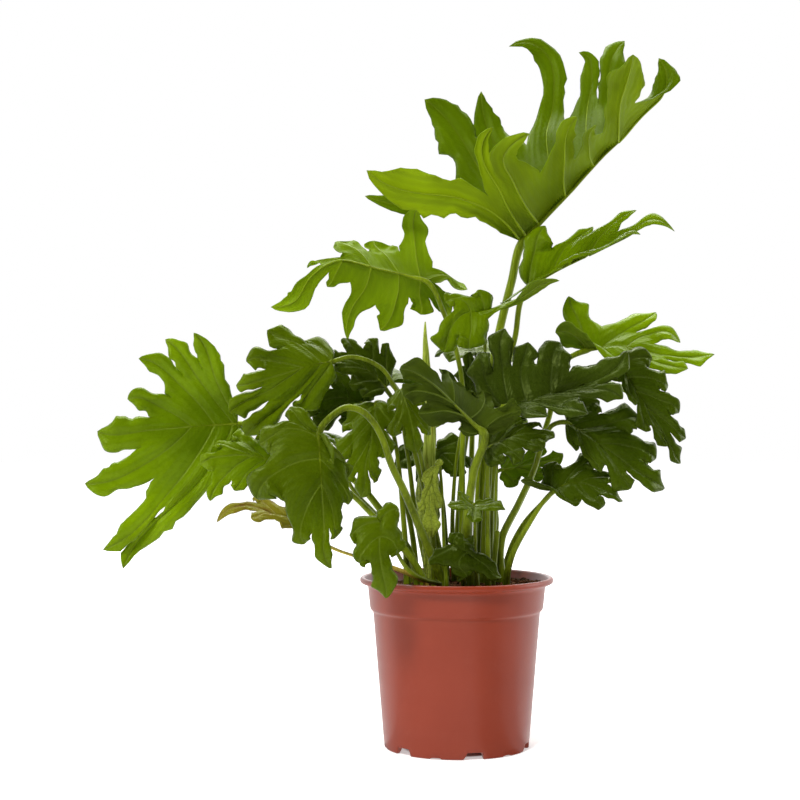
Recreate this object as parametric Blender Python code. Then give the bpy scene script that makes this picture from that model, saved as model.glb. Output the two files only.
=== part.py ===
"""Potted lacy tree philodendron, as faceted solids in metres with +Z up.

The pot's foot stands on z = 0, the pot's axis is the z axis, and the viewer stands on the -y side.
Every frond (petiole, midrib and lobed blade) is one solid that stands in a hole in the soil.
"""
import math

import bmesh
import bpy
import numpy as np

# Driving sizes in millimetres
MM = 0.001
LIP_RADIUS = 105.0
POT_HEIGHT = 184.5
FOOT_RADIUS = 78.5
WALL = 2.0
FLOOR_TOP = 11.0
SKIRT_DEPTH = 8.0
WALL_TOP = (90.3, 142.0)
COLLAR_FOOT = (93.8, 152.5)
COLLAR_TOP = (96.4, 172.5)
LIP_UNDER = (98.5, 175.8)
BOSS_RADIUS = 44.0
RING_WALL = 5.0
NOTCHES = 6
NOTCH_REACH = 24.0
NOTCH_WIDTH = 18.0
NOTCH_HEIGHT = 7.4
NOTCH_TURN = 12.0
SMALL_NOTCH_WIDTH = 10.0
SMALL_NOTCH_HEIGHT = 1.5
POT_SIDES = 36
SOIL_SIDES = 20
SOIL_EDGE = 172.0
SOIL_CROWN = 177.0
SOIL_FLAT_RADIUS = 62.0
STALK_FOOT = 148.0
STALK_MOUTH = 183.0
FIT_GAP = 0.3
FACET_ROOM = 0.1
HOLE_GAP = 0.45
BLADE = 0.8
STALK_SIDES = 5
STALK_STATIONS = 8
STEM_SIDES = 8

# The pot's inside, from the floor up, as (radius, height)
INSIDE = [(76.3, FLOOR_TOP), (WALL_TOP[0] - WALL, WALL_TOP[1]), (91.8, COLLAR_FOOT[1]), (94.4, 173.0)]

# The crown stem and the stub of a cut petiole: foot, height by height, and radius
STEM_FOOT = (-28, 5)
STEM_ROUTE = [(-28, 5, 183), (-30, 5, 228), (-31, 5, 252), (-31, 5, 286), (-30, 5, 312),
              (-29, 5, 345), (-31, 4, 385), (-33, 2, 415), (-34, 0, 440), (-34, 0, 461)]
STEM_RADII = [7.5, 7.5, 9.0, 12.6, 12.0, 7.0, 6.4, 6.2, 4.6, 2.6, 0.7]
STEM_HOLE = 9.3
STUB_FOOT = (38, -26)
STUB_ROUTE = [(38, -26, 183), (40, -26, 207), (43, -26, 235)]
STUB_RADII = [3.4, 3.4, 3.2, 3.0]

# The viewpoint that the frond tables are drawn from
EYE_X = -61.5
EYE_Z = 376.0
EYE_DISTANCE = 1900.0

# How a blade is cut into lobes: the share of a rib's length up to which neighbours are joined, how
# full a lobe stays towards its tip and how pointed that is, the share of the room between ribs that
# it may fill, the waves of its edge, the difference between a lobe's two sinuses that one row of
# facets can bridge, and the rows beyond them
JOIN = 0.62
POINT = 2.2
TIP = 0.68
CLEAR_SHARE = 0.48
NECK_POWER = 2.5
WAVE = 0.17
RUFFLE = 0.13
EVEN_SINUS = 0.14
FREE_ROWS = 3
MITRE_LIMIT = 0.15

# How a petiole meets its blade: how far below the joint it ends and below the midrib it runs on, as
# shares of its radius, how far it runs on and with what radii, the share of its climb over which it
# tapers, and how its stations crowd towards the joint
KNEE_DROP = 0.45
RUN_ON_DROP = 0.25
RUN_ON = 0.2
RUN_ON_RADII = (0.62, 0.3)
TAPERED = 0.625
CROWDING = 1.4

# Each frond: its petiole from the soil to the joint, the spine from the joint to the leaf's tip,
# and its lobes from the joint outwards. A lobe is its width and the points that its rib passes.
# Points are (x, y, z): x and z as seen from the front in the plane of the pot's axis, and y the
# depth behind it. "right" and "left" are as seen along the spine with the upper face up.
FRONDS = {
    "leaf_01_crown": dict(
        stalk=[(24, 18), (26, 20, 240), (33, 26, 370), (46, 30, 448), (60, 30, 505)],
        radius=(6.0, 4.6),
        spine=[(70, 30, 549), (145, 25, 626), (200, 30, 684), (221, 32, 706), (220, 36, 748)],
        share=0.72, tip_width=38, tip_face=(-0.4, -0.8, 0.45), join=0.5, point=2.4, tip=0.56,
        starts=(0, 0.04, 0.14, 0.36, 0.6, 0.8),
        right=[(56, (36, 2, 582), (2, -14, 596), (-40, -16, 606), (-98, -10, 626)),
               (22, (50, 0, 598), (35, -12, 640), (40, -12, 673)),
               (40, (62, -14, 612), (52, -32, 640), (79, -42, 666)),
               (34, (119, -10, 645), (131, -22, 685)),
               (16, (146, -8, 662), (152, -16, 676)),
               (62, (179, -6, 700), (192, -14, 752))],
        left=[(24, (32, 44, 580), (-8, 56, 588), (-60, 54, 583), (-100, 48, 598)),
              (60, (42, 64, 600), (8, 84, 650), (-35, 90, 703)),
              (36, (62, 72, 612), (44, 96, 660), (27, 104, 712)),
              (32, (98, 80, 660), (105, 104, 704), (99, 110, 742), (80, 110, 760), (57, 108, 761)),
              (24, (142, 74, 692), (151, 92, 728), (148, 98, 746), (133, 98, 754)),
              (44, (166, 62, 700), (172, 76, 736), (183, 80, 767))]),
    "leaf_02_upper_right": dict(
        stalk=[(38, 29), (40, 30, 240), (44, 26, 340), (52, 18, 400), (63, 14, 441)],
        radius=(4.4, 3.1),
        spine=[(78, 6, 499), (134, 0, 530), (189, -6, 556), (216, -8, 569), (238, -10, 560)],
        share=0.7, tip_width=25, join=0.55, point=2.0, starts=(0, 0.25, 0.6),
        right=[(16, (62, -6, 489), (47, -14, 482)),
               (11, (100, -14, 512), (117, -20, 519)),
               (18, (170, -14, 548), (200, -20, 556))],
        left=[(40, (86, 10, 540), (97, 8, 566)),
              (27, (125, 14, 549), (149, 18, 564)),
              (18, (172, 8, 568), (196, 10, 582))]),
    "leaf_03_upper_left": dict(
        stalk=[(5, 2), (6, 6, 300), (4, 6, 410), (-2, 4, 436), (-14, -6, 471)], radius=(4.0, 2.7),
        spine=[(-33, -10, 505), (-82, -4, 518), (-134, 0, 526), (-159, -4, 509), (-177, -8, 484),
               (-202, -10, 477)],
        share=0.54, tip_width=30, join=0.6, point=3.0, starts=(0, 0.06, 0.3, 0.6, 0.9),
        right=[(36, (-20, 6, 488), (-9, 8, 467)),
               (34, (-40, 0, 490), (-39, 0, 469)),
               (32, (-64, -4, 490), (-83, -8, 452)),
               (14, (-98, 0, 500), (-112, -4, 478), (-118, -6, 441)),
               (12, (-134, -2, 509), (-141, -8, 499))],
        left=[(42, (-12, 2, 511), (12, 4, 497)),
              (32, (-45, 2, 548), (-42, 6, 586)),
              (48, (-80, 14, 538), (-90, 30, 549)),
              (44, (-114, 18, 542), (-130, 30, 548)),
              (16, (-146, 8, 528), (-163, 6, 520))]),
    "leaf_04_far_left": dict(
        stalk=[(-42, -6), (-47, 0, 201), (-81, 8, 254), (-103, 12, 281), (-159, 22, 318)],
        radius=(4.4, 3.2),
        spine=[(-238, 30, 350), (-290, 24, 347), (-334, 20, 343), (-391, 12, 342)],
        share=0.55, tip_width=52, join=0.6, point=2.6, starts=(0, 0.06, 0.3, 0.6),
        right=[(32, (-262, 24, 398), (-286, 8, 449)),
               (32, (-284, 28, 402), (-317, 22, 442)),
               (30, (-306, 28, 396), (-346, 18, 421)),
               (34, (-322, 26, 368), (-358, 18, 377))],
        left=[(30, (-240, 28, 318), (-246, 26, 296)),
              (40, (-276, 24, 292), (-317, 16, 250), (-363, 8, 192)),
              (36, (-304, 22, 286), (-346, 16, 243), (-385, 10, 213)),
              (40, (-336, 18, 308), (-404, 8, 285))]),
    "leaf_05_left": dict(
        stalk=[(-13, -12), (-25, -15, 240), (-46, -17, 320), (-61, -22, 376), (-70, -30, 395),
               (-82, -36, 411), (-94, -40, 418), (-114, -44, 423)],
        radius=(3.8, 2.4),
        spine=[(-136, -47, 418), (-165, -54, 412), (-189, -58, 404), (-240, -62, 392)],
        share=0.5, tip_width=39, join=0.66, point=2.2, starts=(0, 0.2, 0.6),
        right=[(36, (-150, -34, 434), (-167, -26, 439)),
               (42, (-176, -44, 439), (-206, -50, 452)),
               (34, (-203, -54, 418), (-229, -60, 418))],
        left=[(51, (-152, -50, 395), (-178, -52, 368)),
              (60, (-185, -54, 374), (-230, -58, 338)),
              (45, (-205, -60, 386), (-247, -64, 362))]),
    "leaf_06_left": dict(
        stalk=[(-30, 24), (-46, 26, 262), (-53, 16, 315), (-66, -6, 372)], radius=(3.4, 2.3),
        spine=[(-77, -16, 389), (-100, -22, 412), (-118, -22, 420), (-140, -20, 421)],
        share=0.6, tip_width=27, join=0.7, point=2.2, starts=(0, 0.25, 0.6),
        right=[(27, (-76, -12, 415), (-74, -10, 438)),
               (33, (-92, -12, 426), (-96, -8, 443)),
               (27, (-114, -14, 434), (-122, -10, 444))],
        left=[(24, (-92, -26, 386), (-102, -30, 379)),
              (27, (-106, -28, 396), (-117, -32, 394)),
              (24, (-118, -26, 412), (-132, -28, 408))]),
    "leaf_07_mid_left": dict(
        stalk=[(-44, 12), (-60, 16, 280), (-92, 12, 350)], radius=(3.4, 2.3),
        spine=[(-103, 6, 373), (-130, 3, 378), (-167, -2, 363)],
        share=0.5, tip_width=33, join=0.71, point=2.2, starts=(0, 0.4),
        right=[(48, (-102, 12, 392), (-108, 14, 406)),
               (48, (-126, 10, 396), (-138, 8, 404))],
        left=[(36, (-112, 2, 358), (-122, -2, 347)),
              (39, (-140, 0, 361), (-155, -4, 348))]),
    "leaf_08_front_left": dict(
        stalk=[(-17, -36), (-31, -50, 216), (-43, -60, 244), (-58, -72, 279), (-71, -82, 306),
               (-82, -90, 337), (-90, -94, 351), (-105, -100, 365), (-119, -104, 368),
               (-134, -108, 360)],
        radius=(5.0, 3.6),
        spine=[(-150, -112, 339), (-146, -122, 270), (-143, -122, 230), (-136, -116, 193)],
        share=0.62, tip_width=27, join=0.8, point=2.0, starts=(0, 0.05, 0.3, 0.6),
        right=[(36, (-170, -106, 352), (-182, -98, 368)),
               (48, (-185, -110, 345), (-214, -102, 328)),
               (63, (-185, -118, 303), (-216, -110, 268)),
               (34, (-164, -124, 256), (-166, -120, 219))],
        left=[(27, (-142, -124, 325), (-134, -134, 306)),
              (17, (-130, -114, 322), (-119, -108, 292)),
              (16, (-130, -118, 290), (-118, -112, 262)),
              (30, (-134, -122, 252), (-133, -118, 226))]),
    "leaf_09_low_left": dict(
        stalk=[(-36, -28), (-50, -30, 205), (-84, -28, 243), (-119, -14, 277), (-159, -20, 300)],
        radius=(4.0, 2.8),
        spine=[(-197, -30, 308), (-235, -34, 316), (-279, -30, 306)],
        share=0.5, tip_width=39, join=0.8, point=2.0, starts=(0, 0.25, 0.6),
        right=[(39, (-205, -24, 328), (-214, -18, 340)),
               (42, (-232, -28, 330), (-244, -24, 338)),
               (33, (-250, -30, 325), (-265, -26, 326))],
        left=[(39, (-205, -36, 292), (-218, -40, 280)),
              (28, (-230, -38, 295), (-242, -42, 278)),
              (21, (-250, -36, 295), (-268, -38, 266))]),
    "leaf_10_old": dict(
        stalk=[(-34, -48), (-62, -60, 191), (-107, -68, 205), (-139, -66, 217)], radius=(2.8, 1.8),
        spine=[(-166, -62, 239), (-200, -64, 252), (-232, -64, 261), (-250, -62, 257),
               (-260, -60, 243)],
        share=0.6, tip_width=18, join=0.7, point=2.0, starts=(0, 0.5),
        right=[(10, (-176, -56, 252), (-186, -52, 262)),
               (24, (-211, -56, 264), (-222, -52, 268))],
        left=[(14, (-180, -70, 240), (-190, -74, 236)),
              (20, (-213, -72, 252), (-224, -76, 248))]),
    "leaf_11_front": dict(
        stalk=[(-20, -56), (-52, -88, 191), (-71, -112, 222)], radius=(3.0, 2.1),
        spine=[(-82, -125, 243), (-84, -134, 215), (-81, -133, 190), (-77, -126, 160)],
        share=0.55, tip_width=34, join=0.9, point=1.7, starts=(0, 0.35),
        right=[(36, (-99, -126, 241), (-117, -122, 229)),
               (40, (-98, -132, 216), (-105, -128, 199))],
        left=[(34, (-74, -126, 254), (-63, -122, 256)),
              (34, (-72, -132, 224), (-63, -128, 209))]),
    "leaf_12_front_centre": dict(
        stalk=[(12, -30), (11, -58, 237), (14, -72, 267), (19, -86, 299)], radius=(7.2, 4.4),
        spine=[(27, -98, 342), (-4, -122, 372), (-29, -138, 396), (-62, -150, 409)],
        share=0.6, tip_width=42, join=0.7, point=2.2, starts=(0, 0.3, 0.65),
        right=[(10, (12, -106, 340), (2, -110, 344)),
               (45, (-22, -130, 365), (-42, -134, 362)),
               (36, (-42, -142, 384), (-58, -146, 380))],
        left=[(54, (46, -96, 357), (71, -92, 365)),
              (54, (30, -92, 374), (28, -84, 386)),
              (51, (-6, -114, 399), (-10, -104, 408))]),
    "leaf_13_dark": dict(
        stalk=[(30, -8), (34, -10, 280), (42, -26, 345)], radius=(5.2, 3.4),
        spine=[(50, -50, 369), (112, -60, 384), (160, -64, 402), (185, -64, 430)],
        share=0.6, tip_width=48, join=0.62, point=1.8, starts=(0, 0.08, 0.3, 0.6),
        right=[(27, (56, -54, 358), (68, -56, 352)),
               (39, (78, -74, 367), (100, -84, 359)),
               (42, (110, -76, 370), (143, -88, 361)),
               (39, (142, -74, 387), (181, -82, 377))],
        left=[(54, (34, -44, 392), (24, -36, 426)),
              (45, (50, -42, 412), (53, -36, 454)),
              (42, (70, -42, 413), (78, -36, 439)),
              (48, (105, -46, 417), (114, -38, 438))]),
    "leaf_14_right": dict(
        stalk=[(43, -2), (49, -2, 225), (68, -2, 264), (85, 0, 302), (95, 0, 339), (103, 0, 368),
               (103, 0, 392), (109, 0, 412), (124, 0, 423)],
        radius=(4.4, 3.0),
        spine=[(142, 0, 431), (185, -2, 433), (225, 0, 425), (255, 2, 421), (281, 4, 425)],
        share=0.55, tip_width=36, join=0.52, point=2.4, starts=(0, 0.2, 0.55),
        right=[(45, (124, -8, 447), (108, -12, 449)),
               (39, (170, -14, 424), (200, -18, 410)),
               (33, (225, -12, 415), (252, -14, 410))],
        left=[(36, (134, 14, 462), (122, 22, 489)),
              (36, (184, 16, 452), (217, 26, 471)),
              (42, (205, 12, 446), (243, 18, 438))]),
    "leaf_15_right_drooping": dict(
        stalk=[(36, 10), (37, 8, 230), (46, 4, 320), (70, -6, 362), (104, -18, 386),
               (140, -28, 400)],
        radius=(3.8, 2.6),
        spine=[(176, -42, 414), (206, -50, 370), (225, -50, 340), (244, -44, 307)],
        share=0.55, tip_width=33, join=0.68, point=1.7, starts=(0, 0.25, 0.5, 0.8),
        right=[(24, (172, -48, 404), (169, -52, 397)),
               (20, (188, -54, 384), (194, -58, 370)),
               (36, (203, -56, 355), (206, -58, 341)),
               (27, (222, -54, 336), (229, -54, 325))],
        left=[(42, (196, -40, 421), (213, -36, 421)),
              (36, (213, -46, 400), (230, -42, 392)),
              (28, (224, -48, 374), (242, -44, 362)),
              (24, (234, -48, 348), (250, -44, 335))]),
    "leaf_16_right_low": dict(
        stalk=[(50, -14), (50, -18, 225), (68, -24, 264), (85, -30, 302), (95, -34, 332),
               (105, -38, 349)],
        radius=(3.8, 2.6),
        spine=[(120, -42, 352), (165, -50, 322), (195, -50, 300), (227, -42, 280)],
        share=0.6, tip_width=42, join=0.7, point=2.0, starts=(0, 0.2, 0.55),
        right=[(14, (124, -50, 336), (130, -56, 320)),
               (18, (142, -56, 318), (157, -58, 297)),
               (42, (178, -56, 298), (190, -56, 280))],
        left=[(42, (138, -34, 366), (156, -28, 374)),
              (54, (170, -38, 350), (199, -32, 356)),
              (48, (200, -44, 322), (217, -38, 312))]),
    "leaf_17_low_right": dict(
        stalk=[(52, -34), (61, -44, 208), (77, -48, 238)], radius=(3.8, 2.6),
        spine=[(105, -52, 277), (131, -58, 286), (155, -58, 280), (181, -52, 267)],
        share=0.6, tip_width=36, join=0.78, point=1.8, starts=(0, 0.25, 0.6),
        right=[(22, (86, -58, 286), (70, -62, 288)),
               (17, (118, -66, 270), (134, -70, 264)),
               (30, (146, -64, 270), (162, -66, 264))],
        left=[(39, (104, -46, 294), (110, -42, 308)),
              (48, (130, -48, 301), (148, -44, 311)),
              (36, (158, -50, 292), (173, -46, 289))]),
    "leaf_18_mid_right": dict(
        stalk=[(32, -44), (34, -54, 250), (34, -64, 300)], radius=(3.2, 2.3),
        spine=[(36, -72, 325), (65, -80, 338), (85, -80, 340), (107, -74, 335)],
        share=0.6, tip_width=36, join=0.63, point=1.8, starts=(0, 0.25, 0.6),
        right=[(33, (43, -82, 312), (51, -86, 306)),
               (39, (62, -88, 320), (72, -92, 310)),
               (30, (85, -88, 328), (95, -90, 322))],
        left=[(36, (42, -68, 342), (50, -66, 348)),
              (36, (66, -74, 351), (76, -72, 355)),
              (33, (86, -74, 349), (95, -72, 346))]),
    "leaf_19_low_centre": dict(
        stalk=[(6, -54), (4, -64, 196)], radius=(2.8, 2.0),
        spine=[(-4, -76, 218), (20, -84, 204), (48, -78, 183)],
        share=0.55, tip_width=27, join=0.95, point=1.7, starts=(0, 0.5),
        right=[(24, (-16, -82, 209), (-30, -78, 204)),
               (34, (2, -87, 197), (12, -85, 184))],
        left=[(24, (-2, -76, 226), (1, -73, 232)),
              (30, (9, -80, 221), (19, -77, 219))]),
    "leaf_20_glossy": dict(
        stalk=[(19, 6), (24, 8, 300), (30, 0, 400), (31, -8, 439)], radius=(3.0, 1.9),
        spine=[(29, -20, 469), (8, -28, 470), (-8, -30, 452), (-14, -28, 428)],
        share=0.5, tip_width=51, join=0.75, point=2.4, starts=(0, 0.4),
        right=[(33, (28, -24, 484), (22, -24, 495)),
               (38, (4, -28, 486), (-12, -26, 482))],
        left=[(26, (52, -27, 482), (84, -32, 494), (112, -36, 506)),
              (45, (16, -32, 450), (14, -34, 432))]),
    "leaf_21_pale": dict(
        stalk=[(42, 44), (44, 42, 240)], radius=(3.0, 2.0),
        spine=[(50, 38, 300), (80, 32, 306), (116, 26, 318)],
        share=0.55, tip_width=27, join=0.69, point=2.2, starts=(0, 0.4),
        right=[(30, (60, 42, 312), (66, 44, 319)),
               (30, (86, 36, 317), (95, 34, 325))],
        left=[(30, (60, 34, 290), (67, 32, 284)),
              (30, (87, 28, 297), (99, 24, 294))]),
    "leaf_22_star": dict(
        stalk=[(20, -54), (20, -58, 215), (20, -76, 242)], radius=(2.6, 1.9),
        spine=[(19, -112, 263), (19, -122, 256), (17, -134, 243)],
        share=0.5, tip_width=24, join=0.5, point=1.8, starts=(0, 0.4),
        right=[(22, (8, -108, 270), (4, -102, 278)),
               (22, (4, -122, 263), (-10, -124, 262))],
        left=[(20, (32, -108, 265), (42, -102, 264)),
              (22, (36, -120, 261), (54, -124, 257))]),
    "leaf_23_behind_stem": dict(
        stalk=[(-10, 26), (-14, 34, 260)], radius=(3.0, 2.0),
        spine=[(-22, 40, 322), (-10, 34, 312), (6, 30, 293)],
        share=0.5, tip_width=30, join=0.7, point=2.2, starts=(0, 0.35),
        right=[(40, (-42, 38, 318), (-66, 32, 302)),
               (34, (-28, 30, 300), (-44, 28, 288))],
        left=[(36, (-6, 42, 329), (6, 42, 333)),
              (30, (4, 36, 316), (15, 34, 303))]),
    "leaf_24_curly": dict(
        stalk=[(-2, 18), (-4, 15, 260), (3, 14, 330)], radius=(2.8, 1.9),
        spine=[(15, 24, 378), (14, 18, 400), (16, 16, 428)],
        share=0.5, tip_width=27, join=0.6, point=2.4, starts=(0, 0.4),
        right=[(24, (24, 20, 383), (29, 16, 377)),
               (27, (24, 16, 404), (27, 14, 412))],
        left=[(24, (6, 20, 383), (1, 16, 377)),
              (27, (6, 16, 404), (3, 14, 412))]),
    "leaf_25_hanging": dict(
        stalk=[(-54, -12), (-58, -10, 250), (-70, -6, 345), (-78, -10, 372)], radius=(3.4, 2.3),
        spine=[(-88, -20, 373), (-93, -34, 335), (-100, -38, 300), (-104, -34, 270)],
        share=0.6, tip_width=36, join=0.75, point=2.2, starts=(0, 0.25, 0.6),
        right=[(45, (-108, -20, 358), (-124, -16, 350)),
               (51, (-114, -32, 330), (-129, -28, 314)),
               (36, (-112, -36, 302), (-120, -32, 287))],
        left=[(42, (-78, -28, 358), (-69, -26, 346)),
              (45, (-82, -36, 328), (-74, -34, 314)),
              (30, (-92, -38, 300), (-86, -36, 288))]),
    "leaf_26_centre_left": dict(
        stalk=[(-24, -22), (-28, -31, 250), (-43, -38, 330), (-55, -34, 372)], radius=(3.4, 2.3),
        spine=[(-59, -48, 388), (-58, -60, 384), (-49, -66, 350), (-42, -62, 318)],
        share=0.55, tip_width=39, join=0.72, point=2.2, starts=(0, 0.4),
        right=[(36, (-67, -56, 378), (-74, -56, 364)),
               (42, (-62, -64, 352), (-67, -64, 336))],
        left=[(39, (-46, -56, 380), (-33, -56, 371)),
              (42, (-40, -64, 354), (-28, -62, 338))]),
    "leaf_33_papery": dict(
        stalk=[(-12, -46), (-13, -40, 209), (-15, -34, 256), (-17, -29, 292), (-19, -31, 306)],
        radius=(2.4, 1.6),
        spine=[(-23, -39, 304), (-28, -43, 278), (-29, -43, 250), (-27, -40, 226)],
        share=0.6, tip_width=22, join=0.8, point=2.6, starts=(0, 0.4),
        right=[(11, (-31, -41, 296), (-38, -40, 289)),
               (18, (-35, -42, 268), (-41, -41, 256))],
        left=[(12, (-20, -40, 306), (-17, -39, 311)),
              (14, (-22, -43, 270), (-18, -41, 258))]),
    "leaf_27_back": dict(
        stalk=[(14, 46), (16, 60, 300)], radius=(4.4, 3.0),
        spine=[(18, 80, 364), (20, 130, 376), (22, 180, 366), (24, 225, 338)],
        share=0.6, tip_width=45, starts=(0, 0.3, 0.65),
        right=[(45, (38, 76, 364), (58, 68, 346)),
               (51, (52, 124, 368), (76, 134, 346)),
               (45, (50, 170, 362), (70, 200, 340))],
        left=[(45, (0, 76, 364), (-24, 68, 346)),
              (51, (-12, 124, 370), (-40, 134, 350)),
              (45, (-6, 170, 364), (-28, 200, 342))]),
    "leaf_28_back_left": dict(
        stalk=[(-26, 42), (-36, 54, 300)], radius=(4.4, 3.0),
        spine=[(-70, 75, 395), (-100, 115, 412), (-130, 155, 412), (-162, 190, 400)],
        share=0.6, tip_width=42, starts=(0, 0.3, 0.65),
        right=[(45, (-50, 92, 398), (-34, 110, 386)),
               (48, (-78, 140, 410), (-62, 172, 396)),
               (42, (-112, 172, 412), (-104, 206, 396))],
        left=[(45, (-90, 62, 396), (-112, 50, 386)),
              (48, (-130, 100, 410), (-162, 92, 398)),
              (42, (-154, 146, 410), (-188, 152, 396))]),
    "leaf_29_back_right": dict(
        stalk=[(29, 47), (38, 56, 300)], radius=(4.4, 3.0),
        spine=[(85, 72, 385), (115, 112, 398), (145, 150, 396), (175, 185, 380)],
        share=0.6, tip_width=42, starts=(0, 0.3, 0.65),
        right=[(42, (108, 60, 385), (130, 50, 374)),
               (45, (145, 97, 394), (178, 92, 381)),
               (42, (170, 140, 392), (200, 150, 379))],
        left=[(39, (74, 94, 390), (68, 116, 382)),
              (45, (97, 138, 396), (84, 170, 382)),
              (42, (130, 168, 394), (120, 204, 379))]),
    "leaf_30_back_upper": dict(
        stalk=[(0, 40), (6, 50, 300)], radius=(3.6, 2.5),
        spine=[(22, 60, 425), (18, 100, 441), (14, 145, 441), (10, 185, 426)],
        share=0.6, tip_width=39, starts=(0, 0.45),
        right=[(39, (42, 54, 426), (58, 46, 416)),
               (45, (48, 104, 436), (68, 122, 424))],
        left=[(39, (4, 54, 426), (-8, 46, 417)),
              (45, (-8, 104, 436), (-18, 124, 424))]),
    "leaf_31_back_low_left": dict(
        stalk=[(-46, 30), (-52, 36, 203), (-84, 60, 247), (-116, 90, 284)], radius=(3.6, 2.5),
        spine=[(-132, 110, 330), (-160, 140, 338), (-188, 170, 326), (-204, 195, 302)],
        share=0.6, tip_width=39, starts=(0, 0.45),
        right=[(39, (-120, 128, 333), (-110, 146, 320)),
               (45, (-156, 168, 334), (-148, 196, 318))],
        left=[(39, (-148, 96, 331), (-164, 84, 320)),
              (45, (-184, 132, 334), (-208, 126, 320))]),
    "leaf_32_back_low_right": dict(
        stalk=[(54, 32), (58, 40, 211), (72, 46, 239), (101, 54, 272), (128, 60, 303)],
        radius=(3.6, 2.5),
        spine=[(158, 80, 326), (176, 112, 334), (190, 146, 322), (200, 175, 300)],
        share=0.6, tip_width=36, starts=(0, 0.45),
        right=[(33, (172, 70, 327), (188, 62, 316)),
               (39, (194, 112, 330), (214, 112, 316))],
        left=[(33, (148, 94, 330), (142, 112, 320)),
              (39, (170, 142, 330), (166, 168, 316))]),
}


def place(point):
    """Real place, in mm, of a point given as it looks from the front and its depth."""
    x, y, z = point
    spread = 1.0 + y / EYE_DISTANCE
    return np.array((EYE_X + (x - EYE_X) * spread, y, EYE_Z + (z - EYE_Z) * spread))


def unit(vectors):
    return vectors / np.maximum(np.linalg.norm(vectors, axis=-1, keepdims=True), 1e-9)


def smooth_curve(points):
    """A function from shares of the length to places, for a smooth curve through the points."""
    points = np.asarray(points, dtype=float)
    steps = np.linalg.norm(np.diff(points, axis=0), axis=1)
    knots = np.concatenate(([0.0], np.cumsum(steps))) / steps.sum()
    if len(points) > 2:
        slopes = np.gradient(points, knots, axis=0, edge_order=2)
    else:
        slopes = np.repeat(points[1:] - points[:1], 2, axis=0)

    def at(shares):
        shares = np.atleast_1d(np.asarray(shares, dtype=float))
        first = np.clip(np.searchsorted(knots, shares, side="right") - 1, 0, len(knots) - 2)
        span = (knots[first + 1] - knots[first])[:, None]
        x = ((shares - knots[first]) / span[:, 0])[:, None]
        return (
            (2 * x**3 - 3 * x**2 + 1) * points[first]
            + (x**3 - 2 * x**2 + x) * span * slopes[first]
            + (3 * x**2 - 2 * x**3) * points[first + 1]
            + (x**3 - x**2) * span * slopes[first + 1]
        )

    return at


def lobe_outline(w, phase, point, tip):
    """Half width of a lobe's free part, as a share, from the sinus (w = 0) to the tip (w = 1)."""
    return (1 - w**point) ** tip * (1 - 0.7 * WAVE + WAVE * np.cos(3 * math.pi * w + phase))


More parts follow.
